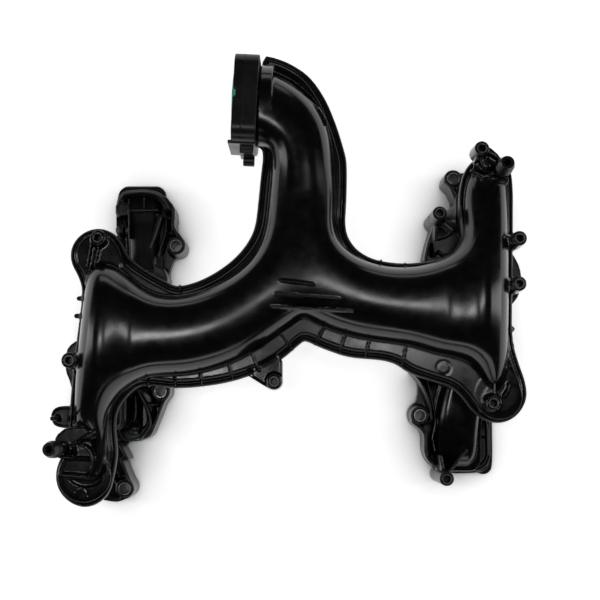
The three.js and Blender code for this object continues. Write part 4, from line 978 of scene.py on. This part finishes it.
def left_bank():
    lo, hi = LEFT_FLANGE.min(0), LEFT_FLANGE.max(0)
    S = Solid([min(lo[0], -222) - 3, lo[1] - 4, -3.0], [hi[0] + 4, hi[1] + 4, 45.0], HB)
    X, Y, Z = S.grid()
    hollow = bank("left", S, LEFT_FLANGE, LEFT_PORTS, LEFT_STUBS, 0, LEFT_LUGS)
    # skirts beside the lugs
    S.add(wall(spline([(-124.4, 85.8), (-121.3, 81.6), (-116.6, 74.3), (-116.4, 55.6), (-109.6, 46.3), (-106.5, 39.1)], 4), 3.2, 0, 35, e=0.8), k=1.8)
    S.add(wall(spline([(-120.4, -100.9), (-119.8, -108.0), (-125.2, -119.0), (-133.6, -141.2), (-138.0, -150.2), (-145.0, -153.2)], 4), 3.2, 0, 35, e=0.8), k=1.8)
    S.add(wall(spline([(-164.9, -174.2), (-155.5, -198.1), (-154.9, -204.1), (-159.4, -210.0), (-168.4, -213.5), (-180.4, -212.0)], 4), 3.2, 0, 35, e=0.8), k=1.8)
    # U-shaped frame round the front runner's end, with its bars, pocket and window
    frame = spline([(-169.4, 50.5), (-169.9, 79.8), (-166.7, 86.4), (-162.3, 89.5), (-144.2, 90.5), (-134.2, 88.5), (-129.1, 85.4), (-124.5, 79.8), (-122.0, 74.8)], 4)
    S.add(wall(frame, 7.0, 0, 36.5, e=1.6), k=2.0)
    S.add(wall(frame, 2.4, 30, 38.5, e=0.8), k=1.2)
    S.add(poly([(-174.0, 80.7), (-160.0, 80.7), (-159.8, 66.5), (-173.8, 66.5)], 0, 38.2, e=2.0), k=1.2)
    S.add(poly([(-173.6, 56.4), (-158.6, 56.4), (-158.5, 49.3), (-173.5, 49.3)], 0, 37.2, e=1.6), k=1.2)
    S.add(wall([(-160.5, 83.7), (-159.5, 45.3)], 2.2, 0, 39, e=0.7), k=1.0)
    S.add(poly([(-160.9, 73.6), (-131.3, 73.6), (-129.8, 67.5), (-132.5, 47.3), (-137.3, 27.2), (-142.0, 7.1), (-153.8, -4.9), (-157.1, 21.2), (-160.5, 45.3)], 0, 30, e=1.6), k=2.0)
    S.add(wall([(-158.2, 71.9), (-131.3, 72.4)], 2.6, 0, 40.0, e=0.9), k=1.2)
    S.add(wall([(-145.7, 87.4), (-146.0, 72.2)], 2.0, 0, 34.5, e=0.7), k=1.0)
    S.add(wall(spline([(-129.2, 65.8), (-133.5, 50.7), (-137.9, 38.7), (-141.7, 26.7), (-146.4, 10.7)], 5), 5.5, 0, 37.5, e=1.8), k=1.8)
    S.add(wall(spline([(-124.2, 65.1), (-124.1, 52.0), (-127.0, 41.8), (-131.8, 27.7)], 5), 2.6, 0, 33, e=0.8), k=1.5)
    S.add(wall([(-124.2, 65.1), (-115.2, 66.2)], 2.2, 0, 30, e=0.7), k=1.2)
    S.add(wall([(-125.1, 52.0), (-115.0, 49.9)], 2.2, 0, 30, e=0.7), k=1.2)
    # web under the weld rim between the plenum and the arm
    S.add(poly([(-170.3, 12.7), (-160.5, 24.7), (-138.6, 20.7), (-120.7, 12.7), (-122.3, -17.2), (-167.9, -17.2)], 0, 38, e=1.0), k=2.0)
    # rear lobes: almond pocket, bead and dividing ribs
    S.add(poly([(-168.4, -111.9), (-154.8, -104.0), (-137.0, -108.0), (-134.8, -125.6), (-136.6, -143.1), (-146.2, -154.8), (-167.7, -156.7)], 0, 32, e=1.2), k=2.0)
    for p, z in [([(-150.8, -104.0), (-166.3, -118.7), (-171.1, -130.4), (-168.7, -154.8)], 40.5), ([(-150.8, -104.0), (-139.8, -123.6), (-136.6, -140.2), (-145.3, -152.8)], 40.5),
                 ([(-152.0, -111.9), (-150.8, -127.5), (-152.7, -137.3)], 36.5)]:
        S.add(wall(spline(p, 5), 2.4, 0, z, e=0.8), k=1.2)
    S.add(ball(*(-152.4, -144.2), 34, 6.5, 5.0, 5.0), k=1.5)
    S.add(wall([(-139.0, -120.3), (-130.1, -120.3)], 2.4, 0, 33, e=0.7), k=1.2)
    S.add(wall([(-167.6, -190.7), (-159.7, -190.7)], 2.4, 0, 33, e=0.7), k=1.2)
    S.add(wall([(-178.5, -184.4), (-167.5, -200.0)], 2.4, 0, 33, e=0.7), k=1.2)
    S.add(wall([(-159.0, -173.7), (-166.1, -161.0)], 2.6, 0, 34, e=0.7), k=1.2)
    S.add(wall([(-136.3, -99.1), (-128.3, -102.0)], 2.6, 0, 34, e=0.7), k=1.2)
    # plenum-side columns that reach down to the flange behind the posts
    S.add(poly([(-212.2, -15.7), (-205.2, -15.7), (-204.7, -45.9), (-211.7, -45.9)], 12, 38, e=1.5), k=3)
    cells(S, LEFT_FLANGE, LEFT_PORTS, LEFT_LUGS, 7.5, -210, -95, -215, 110)
    close_bank(S, LEFT_PORTS, LEFT_STUBS, 0, LEFT_LUGS, hollow)
    S.cut(rect(*(-169.2, 61.1), 6.6, 8.6, 1.6, -2, 44, e=0.3), k=0.5)
    S.cut(poly([(-159.0, 85.2), (-148.0, 85.8), (-147.9, 75.1), (-157.4, 75.1)], 20, 50, e=0.8), k=1.0)
    S.cut(poly([(-144.0, 85.8), (-134.0, 84.2), (-131.9, 80.7), (-132.9, 75.1), (-143.9, 75.1)], 20, 50, e=0.8), k=1.0)
    S.cut(poly([(-166.6, 66.8), (-164.1, 66.8), (-163.8, 48.4), (-166.0, 48.4)], -2, 44, e=0.3, soft=0), k=0.4)
    # almond pocket and the recess of the end lobe
    S.cut(poly([(-165.7, -119.8), (-154.0, -109.9), (-153.6, -135.5), (-160.4, -143.4), (-166.3, -147.3), (-169.0, -133.6)], 18, 45, e=0.8), k=1.2)
    S.cut(poly([(-150.0, -109.9), (-141.9, -125.7), (-140.7, -139.4), (-146.6, -145.3), (-149.7, -135.5)], 18, 45, e=0.8), k=1.2)
    # the rear runner's wall runs on behind the pocket
    skin = level_sdf(LEFT_PORTS[2], LEFT_STUBS[2], X, Y, np.clip(Z, 9.0, STUB_Z - 0.3))
    core = level_sdf(LEFT_PORTS[2], LEFT_STUBS[2], X, Y, np.clip(Z, 9.0, STUB_Z - 0.3), -4.0)
    shell = np.maximum(np.maximum(skin, -core), np.maximum(11.0 - Z, Z - STUB_Z + 0.15))
    S.f = smin(S.f, shell.astype(np.float32), 0.6)
    cover_cut(S, LEFT_PORTS[0], LEFT_STUBS[0])
    return S.mesh("left_runner_body_skin")


def cover_cut(S, port, stub):
    """Room for the welded cover of an end runner."""
    X, Y, Z = S.grid()
    rows = long_rows(port, stub)
    zone = cover_zone(port, stub, X, Y, Z)
    f = tube_sdf(rows, X, Y, Z, GAP)
    above = split(port, stub, Y) - GAP / 2 - Z
    S.f = smax(S.f, -np.maximum(np.maximum(f, above), zone - GAP).astype(np.float32), 0.0)
    rim = tube_sdf([[*r[:3], r[3] + 4.5, r[4] + 4.5, r[5]] for r in rows], X, Y, Z, GAP)
    lo = split(port, stub, Y) - GAP / 2
    band_ = np.maximum(lo - Z, Z - lo - 3 - GAP)
    S.f = smax(S.f, -np.maximum(np.maximum(rim, band_), zone - GAP).astype(np.float32), 0.0)


def cover(name, port, stub, extra=None):
    rows = long_rows(port, stub)
    ylo, yhi = sorted([port[1], stub[1]])
    xs = [r[0] for r in rows]
    S = Solid([min(xs) - 30, ylo - 34, 12.0], [max(xs) + 30, yhi + 34, 46.0], 0.8)
    X, Y, Z = S.grid()
    zone = cover_zone(port, stub, X, Y, Z)
    outer = tube_sdf(rows, X, Y, Z)
    lo = split(port, stub, Y) + GAP / 2
    S.f = smax(outer, lo - Z, 0.4)
    rim = tube_sdf([[*r[:3], r[3] + 4.5, r[4] + 4.5, r[5]] for r in rows], X, Y, Z)
    S.f = smin(S.f, smax(rim, np.maximum(lo - Z, Z - lo - 3), 0.8).astype(np.float32), 2.2)
    if extra:
        extra(S)
    inner = tube_sdf([[rows[0][0], rows[0][1], rows[0][2] - 12, *rows[0][3:]]] + rows + [[rows[-1][0], rows[-1][1], rows[-1][2] + 12, *rows[-1][3:]]], X, Y, Z, -3.4)
    S.f = smax(S.f, -inner, 0.6)
    S.f = smax(S.f, lo - Z, 0.0)
    S.f = smax(S.f, zone, 0.6).astype(np.float32)
    S.clip_z(z1=STUB_Z - 0.3)
    return S.mesh(name + "_skin")


def right_bank():
    lo, hi = RIGHT_FLANGE.min(0), RIGHT_FLANGE.max(0)
    S = Solid([lo[0] - 6, lo[1] - 14, -3.0], [hi[0] + 10, hi[1] + 4, 76.0], HB)
    X, Y, Z = S.grid()
    hollow = bank("right", S, RIGHT_FLANGE, RIGHT_PORTS, RIGHT_STUBS, 2, RIGHT_LUGS)
    S.add(wall(spline([(158.2, 106.6), (160.7, 99.3), (167.7, 82.6)], 4), 3.2, 0, 35, e=0.8), k=1.8)
    S.add(wall(spline([(146.9, 60.8), (139.5, 41.1), (135.8, 24.6)], 4), 3.2, 0, 35, e=0.8), k=1.8)
    S.add(wall(spline([(121.5, -137.1), (133.0, -148.2), (133.8, -166.2), (137.8, -175.2), (145.3, -181.2)], 4), 3.2, 0, 35, e=0.8), k=1.8)
    for k, (x, y, z0, z1, r, ins) in STAY.items():
        S.add(boss_form(x, y, z0 - 6, z1, r), k=2.5)
    a, b = STAY["right_front_stay"][:2], STAY["right_rear_stay"][:2]
    S.add(wall([a, (162.9, 48.9)], 5, 8, 52, e=1.2), k=2.5)
    S.add(wall([a, (145.0, 31.0)], 3, 8, 44, e=0.8), k=2.0)
    S.add(wall([a, (138.7, 64.5)], 3, 6, 46, e=0.8), k=2.0)
    S.add(wall([b, (145.6, -169.6)], 3, 8, 56, e=0.8), k=2.0)
    S.add(wall([b, (172.7, -164.8)], 3, 8, 50, e=0.8), k=2.0)
    # rounded plate at the rear with raised rings round the end port
    S.add(poly([(151.1, -167.6), (199.4, -145.8), (200.3, -181.5), (190.7, -188.4), (157.8, -189.4), (147.9, -183.4)], 0, 15, e=1.0), k=1.5)
    for g, z in ((9.0, 17.5), (4.5, 19.5)):
        S.add(wall(rect_path(*(177.9, -155.7), 34 + g, 50 + g, 15), 1.6, 10, z, e=0.6, close=True), k=0.8)
    S.add(poly([(148.3, -161.0), (183.8, -161.0), (183.6, -173.7), (148.2, -173.7)], 0, 22, e=1.0), k=1.5)
    S.add(wall([(148.8, -160.8), (183.2, -161.3)], 2.2, 0, 33, e=0.7), k=1.2)
    # gusset plate under the weld rim
    S.add(poly([(136.4, -78.5), (181.7, -78.5), (185.4, -100.1), (171.4, -113.8), (153.8, -104.0), (134.3, -94.2)], 0, 37.5, e=1.2), k=2.0)
    S.add(wall(spline([(133.1, -92.3), (144.8, -94.3), (157.6, -99.2), (169.2, -106.0), (174.0, -115.8), (180.7, -126.5), (186.4, -136.2)], 5), 2.6, 0, 41.2, e=0.8), k=1.4)
    S.add(wall([(156.8, -81.5), (158.5, -100.1)], 2.2, 0, 40.5, e=0.7), k=1.2)
    S.add(wall(spline([(121.6, -88.4), (129.3, -97.2), (135.1, -109.9), (138.4, -121.6), (139.7, -135.3)], 5), 2.6, 0, 37, e=0.8), k=1.4)
    S.add(wall([(155.4, 102.8), (167.4, 94.7)], 2.4, 0, 33, e=0.7), k=1.2)
    S.add(wall([(132.8, -140.4), (141.7, -134.5)], 2.4, 0, 33, e=0.7), k=1.2)
    S.add(ball(*(157.3, 43.8), 34, 15, 19, 15), k=3)
    cells(S, RIGHT_FLANGE, RIGHT_PORTS, RIGHT_LUGS, 7.5, 112, 205, -190, 118)
    close_bank_right = STUB_Z - 0.15
    X, Y, Z = S.grid()
    # only the stays stand above the runner joint
    stay = np.minimum(np.hypot(X - a[0], Y - a[1]), np.hypot(X - b[0], Y - b[1])) - 22.0
    for i, (p, s) in enumerate(zip(RIGHT_PORTS, RIGHT_STUBS)):
        inn = hollow[i][1] if i == 2 else level_sdf(p, s, X, Y, np.clip(Z, 0, STUB_Z - 0.3), -4.0)
        S.f = smax(S.f, -inn, 0.8)
        S.cut(rect(p[0], p[1], 34, 40, 11, -5, 8, e=0.3), k=0.8)
        groove = rect(p[0], p[1], 46.6, 52.6, 17, -1, 3.0, e=0.2)
        tongue = rect(p[0], p[1], 37.4, 43.4, 13, -2, 4.0, e=0.2)
        S.cut(((lambda g, t: (lambda X, Y, Z: np.maximum(g(X, Y, Z), -t(X, Y, Z))))(groove[0], tongue[0]), groove[1], groove[2]), k=0.3)
    for x, y in RIGHT_LUGS:
        S.cut(cyl(x, y, -2, 40, 6.1 + GAP, e=0.2), k=0.2)
        S.cut(cyl(x, y, 34.5, 37, 6.5, 7.3, e=0.2), k=0.2)
    for k, (x, y, z0, z1, r, ins) in STAY.items():
        S.cut(boss_bore(x, y, z1), k=0.3)
    S.clip_z(z0=0.0)
    S.f = smax(S.f, np.where(stay < 0, -8.0, Z - close_bank_right).astype(np.float32), 0.0)
    cover_cut(S, RIGHT_PORTS[2], RIGHT_STUBS[2])
    return S.mesh("right_runner_body_skin")


def rear_cover_extra(S):
    X, Y, Z = S.grid()
    p, s = RIGHT_PORTS[2], RIGHT_STUBS[2]
    for path in ([(135.4, -92.4), (139.1, -110.9), (142.9, -127.4), (143.7, -140.0), (140.6, -154.4), (142.4, -166.0)],):
        S.add(wall(spline(path, 5), 2.2, 20, 34, e=0.8), k=2.0)


# ------------------------------------------------------------------ throttle flange, on its own axis
def throttle_flange():
    S = Solid([-42, -64, -4.0], [42, 44, 30.0], 0.6)
    S.add(rect(0, -1.4, 78, 84, 14, -2.0, T1, e=1.0), k=0)
    S.add(cyl(0, 0, -2.2, T0 + 3, BORE_R + 5, e=0.4), k=0.8)
    # stiffened back: deep cells round the spigot leave webs to each screw
    for a in range(4):
        for off in (-20, 20):
            t = math.radians(a * 90)
            S.cut(rect(35.6 * math.cos(t) - off * math.sin(t) * 0.55, 35.6 * math.sin(t) + off * math.cos(t) * 0.55, 4.5 if a % 2 == 0 else 17, 17 if a % 2 == 0 else 4.5, 1.5, -3, 9, e=0.3), k=0.6)
    S.add(rect(0, -43.4, 52, 3.4, 1.2, -1.5, T1 + 3.2, e=0.5), k=0.5)
    S.add(rect(0, -47.5, 30, 8, 2, 0.5, 13.5, e=0.6), k=0.8)
    S.add(rect(0, -51.5, 8, 6, 1, 0.5, 9.5, e=0.6), k=1.0)
    S.add(cyl(0, -55.6, -0.6, 10.2, 5.4, e=0.8), k=0.8)
    S.cut(cyl(0, 0, -6, 40, BORE_R, e=0.2), k=0.8)
    S.cut(cyl(0, 0, T1 - 2, T1 + 3, BORE_R - 0.5, BORE_R + 2.0, e=0.3), k=0.4)
    g = ring(0, 0, T1 - 3.0, T1 + 3, BORE_R + 2.3, BORE_R + 7.3, e=0.2)
    S.cut(g, k=0.3)
    S.cut(rect(BORE_R + 7.5, 0, 7, 7.6, 1, T1 - 3, T1 + 3, e=0.2), k=0.3)
    for a, b in ((1, 1), (-1, 1), (-1, -1), (1, -1)):
        S.cut(cyl(a * 29, b * 29, T1 - 15, T1 + 3, 4.4 + 0.28, e=0.2), k=0.2)
        S.cut(cyl(a * 29, b * 29, T1 - 1, T1 + 3, 4.7, 6.7, e=0.2), k=0.2)
    # parting line round the plate
    S.add(((lambda r: (lambda X, Y, Z: np.maximum(r[0](X, Y, Z), np.abs(Z - (T0 + 11)) - 0.35)))(rect(0, -1.4, 78.6, 84.6, 14.3, -2.0, T1, e=0.2)), [-41, -41, T0], [41, 41, T1]), k=0.3)
    S.cut(cyl(0, 0, -6, 40, BORE_R, e=0.2), k=0.8)
    return S.mesh("throttle_flange_skin", place=THROTTLE)


# ------------------------------------------------------------------ turned and moulded small pieces


def insert_mesh(name, x, y, top, place=None, INS_R=INS_R, INS_BORE=INS_BORE):
    """Knurled steel insert with a chamfered, threaded bore."""
    prof = [(INS_BORE + 0.55, top), (INS_R - 0.35, top), (INS_R, top - 0.35)]
    z = top - 0.35
    for a, b, r in ((0.0, 1.2, INS_R), (1.2, 5.4, INS_R), (5.4, 6.0, INS_R - 0.55), (6.0, 7.2, INS_R - 0.55), (7.2, 12.0, INS_R)):
        n = max(1, int((b - a) / 0.6))
        for i in range(1, n + 1):
            prof.append((r, top - 0.35 - a - (b - a) * i / n))
    low = top - INS_L
    prof += [(INS_R - 0.4, low), (INS_BORE + 0.4, low)]
    k = 0
    z = low + 0.4
    while z < top - 0.8:
        prof.append((INS_BORE + (0.28 if k % 2 else 0.0), z))
        z += 0.4
        k += 1
    prof.append((INS_BORE + 0.05, top - 0.55))
    M = Matrix.Translation((x, y, 0)) if place is None else Matrix(place) @ Matrix.Translation((x, y, 0))
    return turned(name, prof, seg=60, place=M, knurl=(top - 12.2, top - 1.5, 0.22, 30, INS_R - 0.3))


def sleeve_mesh(name, x, y):
    """Rolled steel limiter: chamfered both ends, with a slight crown."""
    r, b = 6.1, 5.1
    prof = [(b + 0.3, 35.4), (r - 0.3, 35.4), (r, 35.1), (r - 0.06, 26), (r - 0.08, 18), (r - 0.06, 9), (r, 0.4), (r - 0.3, 0.1), (b + 0.3, 0.1), (b, 0.4), (b - 0.02, 12), (b, 24), (b, 34.8)]
    return turned(name, prof, seg=64, place=Matrix.Translation((x, y, 0)))


def nipple_mesh(name, base, top):
    p, q = Vector(base), Vector(top)
    L = (q - p).length
    prof = [(3.1, 0.3), (4.2, 0.0), (4.6, 0.5), (4.6, L * 0.30), (5.0, L * 0.33), (5.0, L * 0.37), (4.6, L * 0.40), (4.6, L * 0.54), (5.4, L * 0.57), (7.0, L * 0.60), (7.8, L * 0.645),
            (8.0, L * 0.69), (7.2, L * 0.74), (7.1, L * 0.77), (7.7, L * 0.80), (7.9, L * 0.85), (7.3, L * 0.90), (6.6, L * 0.94), (6.3, L - 0.5), (5.8, L), (3.7, L), (3.2, L - 0.8), (3.1, L * 0.6), (3.1, L * 0.3)]
    turn = Vector((0, 0, 1)).rotation_difference(q - p).to_matrix().to_4x4()
    return turned(name, prof, seg=64, place=Matrix.Translation(p) @ turn, sharp=28)


def seal_profile(r):
    """Half-round bead."""
    out = []
    for i in range(13):
        a = math.pi * i / 12
        out.append((r * math.cos(a), r * math.sin(a)))
    return out


def port_seal_mesh(name, x, y):
    # centre line of a band between the inner ring (port + 4) and the outer ring (port + 12)
    path = rect_path(x, y, 34 + 8, 40 + 8, 15, 12)
    prof = [(1.75, 2.7), (-1.75, 2.7), (-2.0, 2.4), (-2.0, 1.6), (-1.5, 1.2), (-1.35, 0.6), (-0.9, 0.2), (-0.4, 0.1), (0.4, 0.1), (0.9, 0.2), (1.35, 0.6), (1.5, 1.2), (2.0, 1.6), (2.0, 2.4)]
    return band(name, path, prof)


def throttle_seal_mesh(name):
    """Ring with two crush beads, and the tab that shows past the plate edge."""
    S = Solid([-38, -38, T1 - 4], [42, 38, T1 + 3], 0.35)
    S.add(ring(0, 0, T1 - 2.7, T1 + 0.1, 31.1, 35.5, e=0.4), k=0)
    S.add(ring(0, 0, T1 - 0.6, T1 + 0.9, 31.9, 33.0, e=0.5), k=0.4)
    S.add(ring(0, 0, T1 - 0.6, T1 + 0.9, 33.8, 34.9, e=0.5), k=0.4)
    S.add(rect(36, 0, 6.0, 6.4, 0.9, T1 - 2.7, T1 + 0.7, e=0.4), k=0.8)
    return S.mesh(name, place=THROTTLE)


# ------------------------------------------------------------------ put it all together
put("duct_upper", upper_shell(), "upper_shell", "black_nylon_gloss")
put("duct_lower", lower_shell(), "lower_shell", "black_nylon")
put("runners_left", left_bank(), "left_runner_body", "black_nylon")
put("runners_right", right_bank(), "right_runner_body", "black_nylon")
put("cover_left_front", cover("cover_left_front", LEFT_PORTS[0], LEFT_STUBS[0]), "left_front_runner_cover", "black_nylon")
put("cover_right_rear", cover("cover_right_rear", RIGHT_PORTS[2], RIGHT_STUBS[2], rear_cover_extra), "right_rear_runner_cover", "black_nylon_gloss")
put("flange_throttle", throttle_flange(), "throttle_flange", "black_nylon")
put("seal_throttle", throttle_seal_mesh("seal_throttle"), "throttle_seal", "green_rubber")
for side, ports in (("left", LEFT_PORTS), ("right", RIGHT_PORTS)):
    for where, (x, y) in zip(("front", "middle", "rear"), ports):
        n = f"{side}_{where}_port_seal"
        put("band_" + n, port_seal_mesh(n, x, y), n, "green_rubber")
for side, lugs in (("left", LEFT_LUGS), ("right", RIGHT_LUGS)):
    for i, (x, y) in enumerate(lugs):
        n = f"{side}_bolt_sleeve_{i + 1}"
        put("tube_" + n, sleeve_mesh(n, x, y), n, "zinc_steel")
for k, (x, y, z0, z1, r, n) in {**BOSS, **STAY}.items():
    put("knurl_" + n, insert_mesh(n, x, y, z1 + 0.2), n, "black_steel")
for i, (a, b) in enumerate([(1, 1), (-1, 1), (-1, -1), (1, -1)]):
    n = f"throttle_insert_{i + 1}"
    put("knurl_" + n, insert_mesh(n, a * 29, b * 29, T1 + 0.0, place=THROTTLE, INS_R=4.4, INS_BORE=2.6), n, "black_steel")
for n, (base, top) in NIPPLE.items():
    put("spigot_" + n, nipple_mesh(n, base, top), n, "black_nylon")

# ------------------------------------------------------------------ floor, light, camera
me = bpy.data.meshes.new("floor")
s = 6.0
me.from_pydata([(-s, -s, 0), (s, -s, 0), (s, s, 0), (-s, s, 0)], [], [(0, 1, 2, 3)])
floor = bpy.data.objects.new("floor", me)
bpy.context.scene.collection.objects.link(floor)
floor.location.z = -0.0008
m, nt, bs, v = new_material("pale_floor")
nt.links.new(tint(nt, remap(nt, noise(nt, v, 6.0, 4.0), 0.3, 0.7, 0.0, 1.0), (0.93, 0.93, 0.93), (0.95, 0.95, 0.95)), bs.inputs["Base Color"])
nt.links.new(remap(nt, noise(nt, v, 30.0, 4.0), 0.3, 0.7, 0.82, 0.92), bs.inputs["Roughness"])
bs.inputs["Specular IOR Level"].default_value = 0.1
nt.links.new(tint(nt, remap(nt, noise(nt, v, 6.0, 4.0), 0.3, 0.7, 0.0, 1.0), (0.97, 0.97, 0.97), (1.0, 1.0, 1.0)), bs.inputs["Emission Color"])
# Painted contact shadow: the floor's even glow is dimmed by ambient occlusion under and beside the part, and this also
# darkens the floor seen through bores and gaps.
painted_shadow_ao = nt.nodes.new("ShaderNodeAmbientOcclusion")
painted_shadow_ao.inputs["Distance"].default_value = 0.045
painted_shadow_ao.samples = 6
nt.links.new(remap(nt, painted_shadow_ao.outputs["AO"], 0.30, 0.92, 0.02, 0.84), bs.inputs["Emission Strength"])
me.materials.append(m)

world = bpy.data.worlds.new("studio")
bpy.context.scene.world = world
world.use_nodes = True
bg = world.node_tree.nodes["Background"]
bg.inputs["Color"].default_value = (1.0, 1.0, 1.0, 1)
bg.inputs["Strength"].default_value = 0.012


def softbox(name, at, aim, w, h, power):
    d = bpy.data.lights.new(name, "AREA")
    d.shape = "RECTANGLE"
    d.size, d.size_y = w, h
    d.energy = power
    o = bpy.data.objects.new(name, d)
    bpy.context.scene.collection.objects.link(o)
    o.location = at
    o.rotation_euler = (Vector(aim) - Vector(at)).to_track_quat("-Z", "Y").to_euler()
    return o


LIGHTS = [
    ("left", (-2.2, 0.1, 0.62), (-0.05, 0, 0.05), 0.5, 2.4, 13),
    ("right", (2.2, 0.1, 0.62), (0.05, 0, 0.05), 0.5, 2.4, 12),
    ("front", (0.0, -2.3, 0.70), (0, 0, 0.05), 2.2, 0.5, 6),
    ("back", (0.0, 2.3, 0.62), (0, 0, 0.05), 2.2, 0.5, 5),
    ("patch_left", (-0.255, -0.06, 1.30), (-0.15, -0.05, 0.1), 0.12, 0.27, 1.25),
    ("patch_right", (0.245, 0.04, 1.30), (0.13, 0, 0.1), 0.12, 0.34, 1.15),
]
for a in LIGHTS:
    softbox(*a)

cam = bpy.data.cameras.new("camera")
cam.lens = 63.16
cam.sensor_width = 36
cam.clip_start, cam.clip_end = 0.05, 20
cam_o = bpy.data.objects.new("camera", cam)
bpy.context.scene.collection.objects.link(cam_o)
cam_o.location = (0.01035, -0.10806, 1.07619)
cam_o.rotation_euler = (math.radians(5.0), 0, 0)
bpy.context.scene.camera = cam_o
bpy.context.scene.view_settings.view_transform = "Standard"
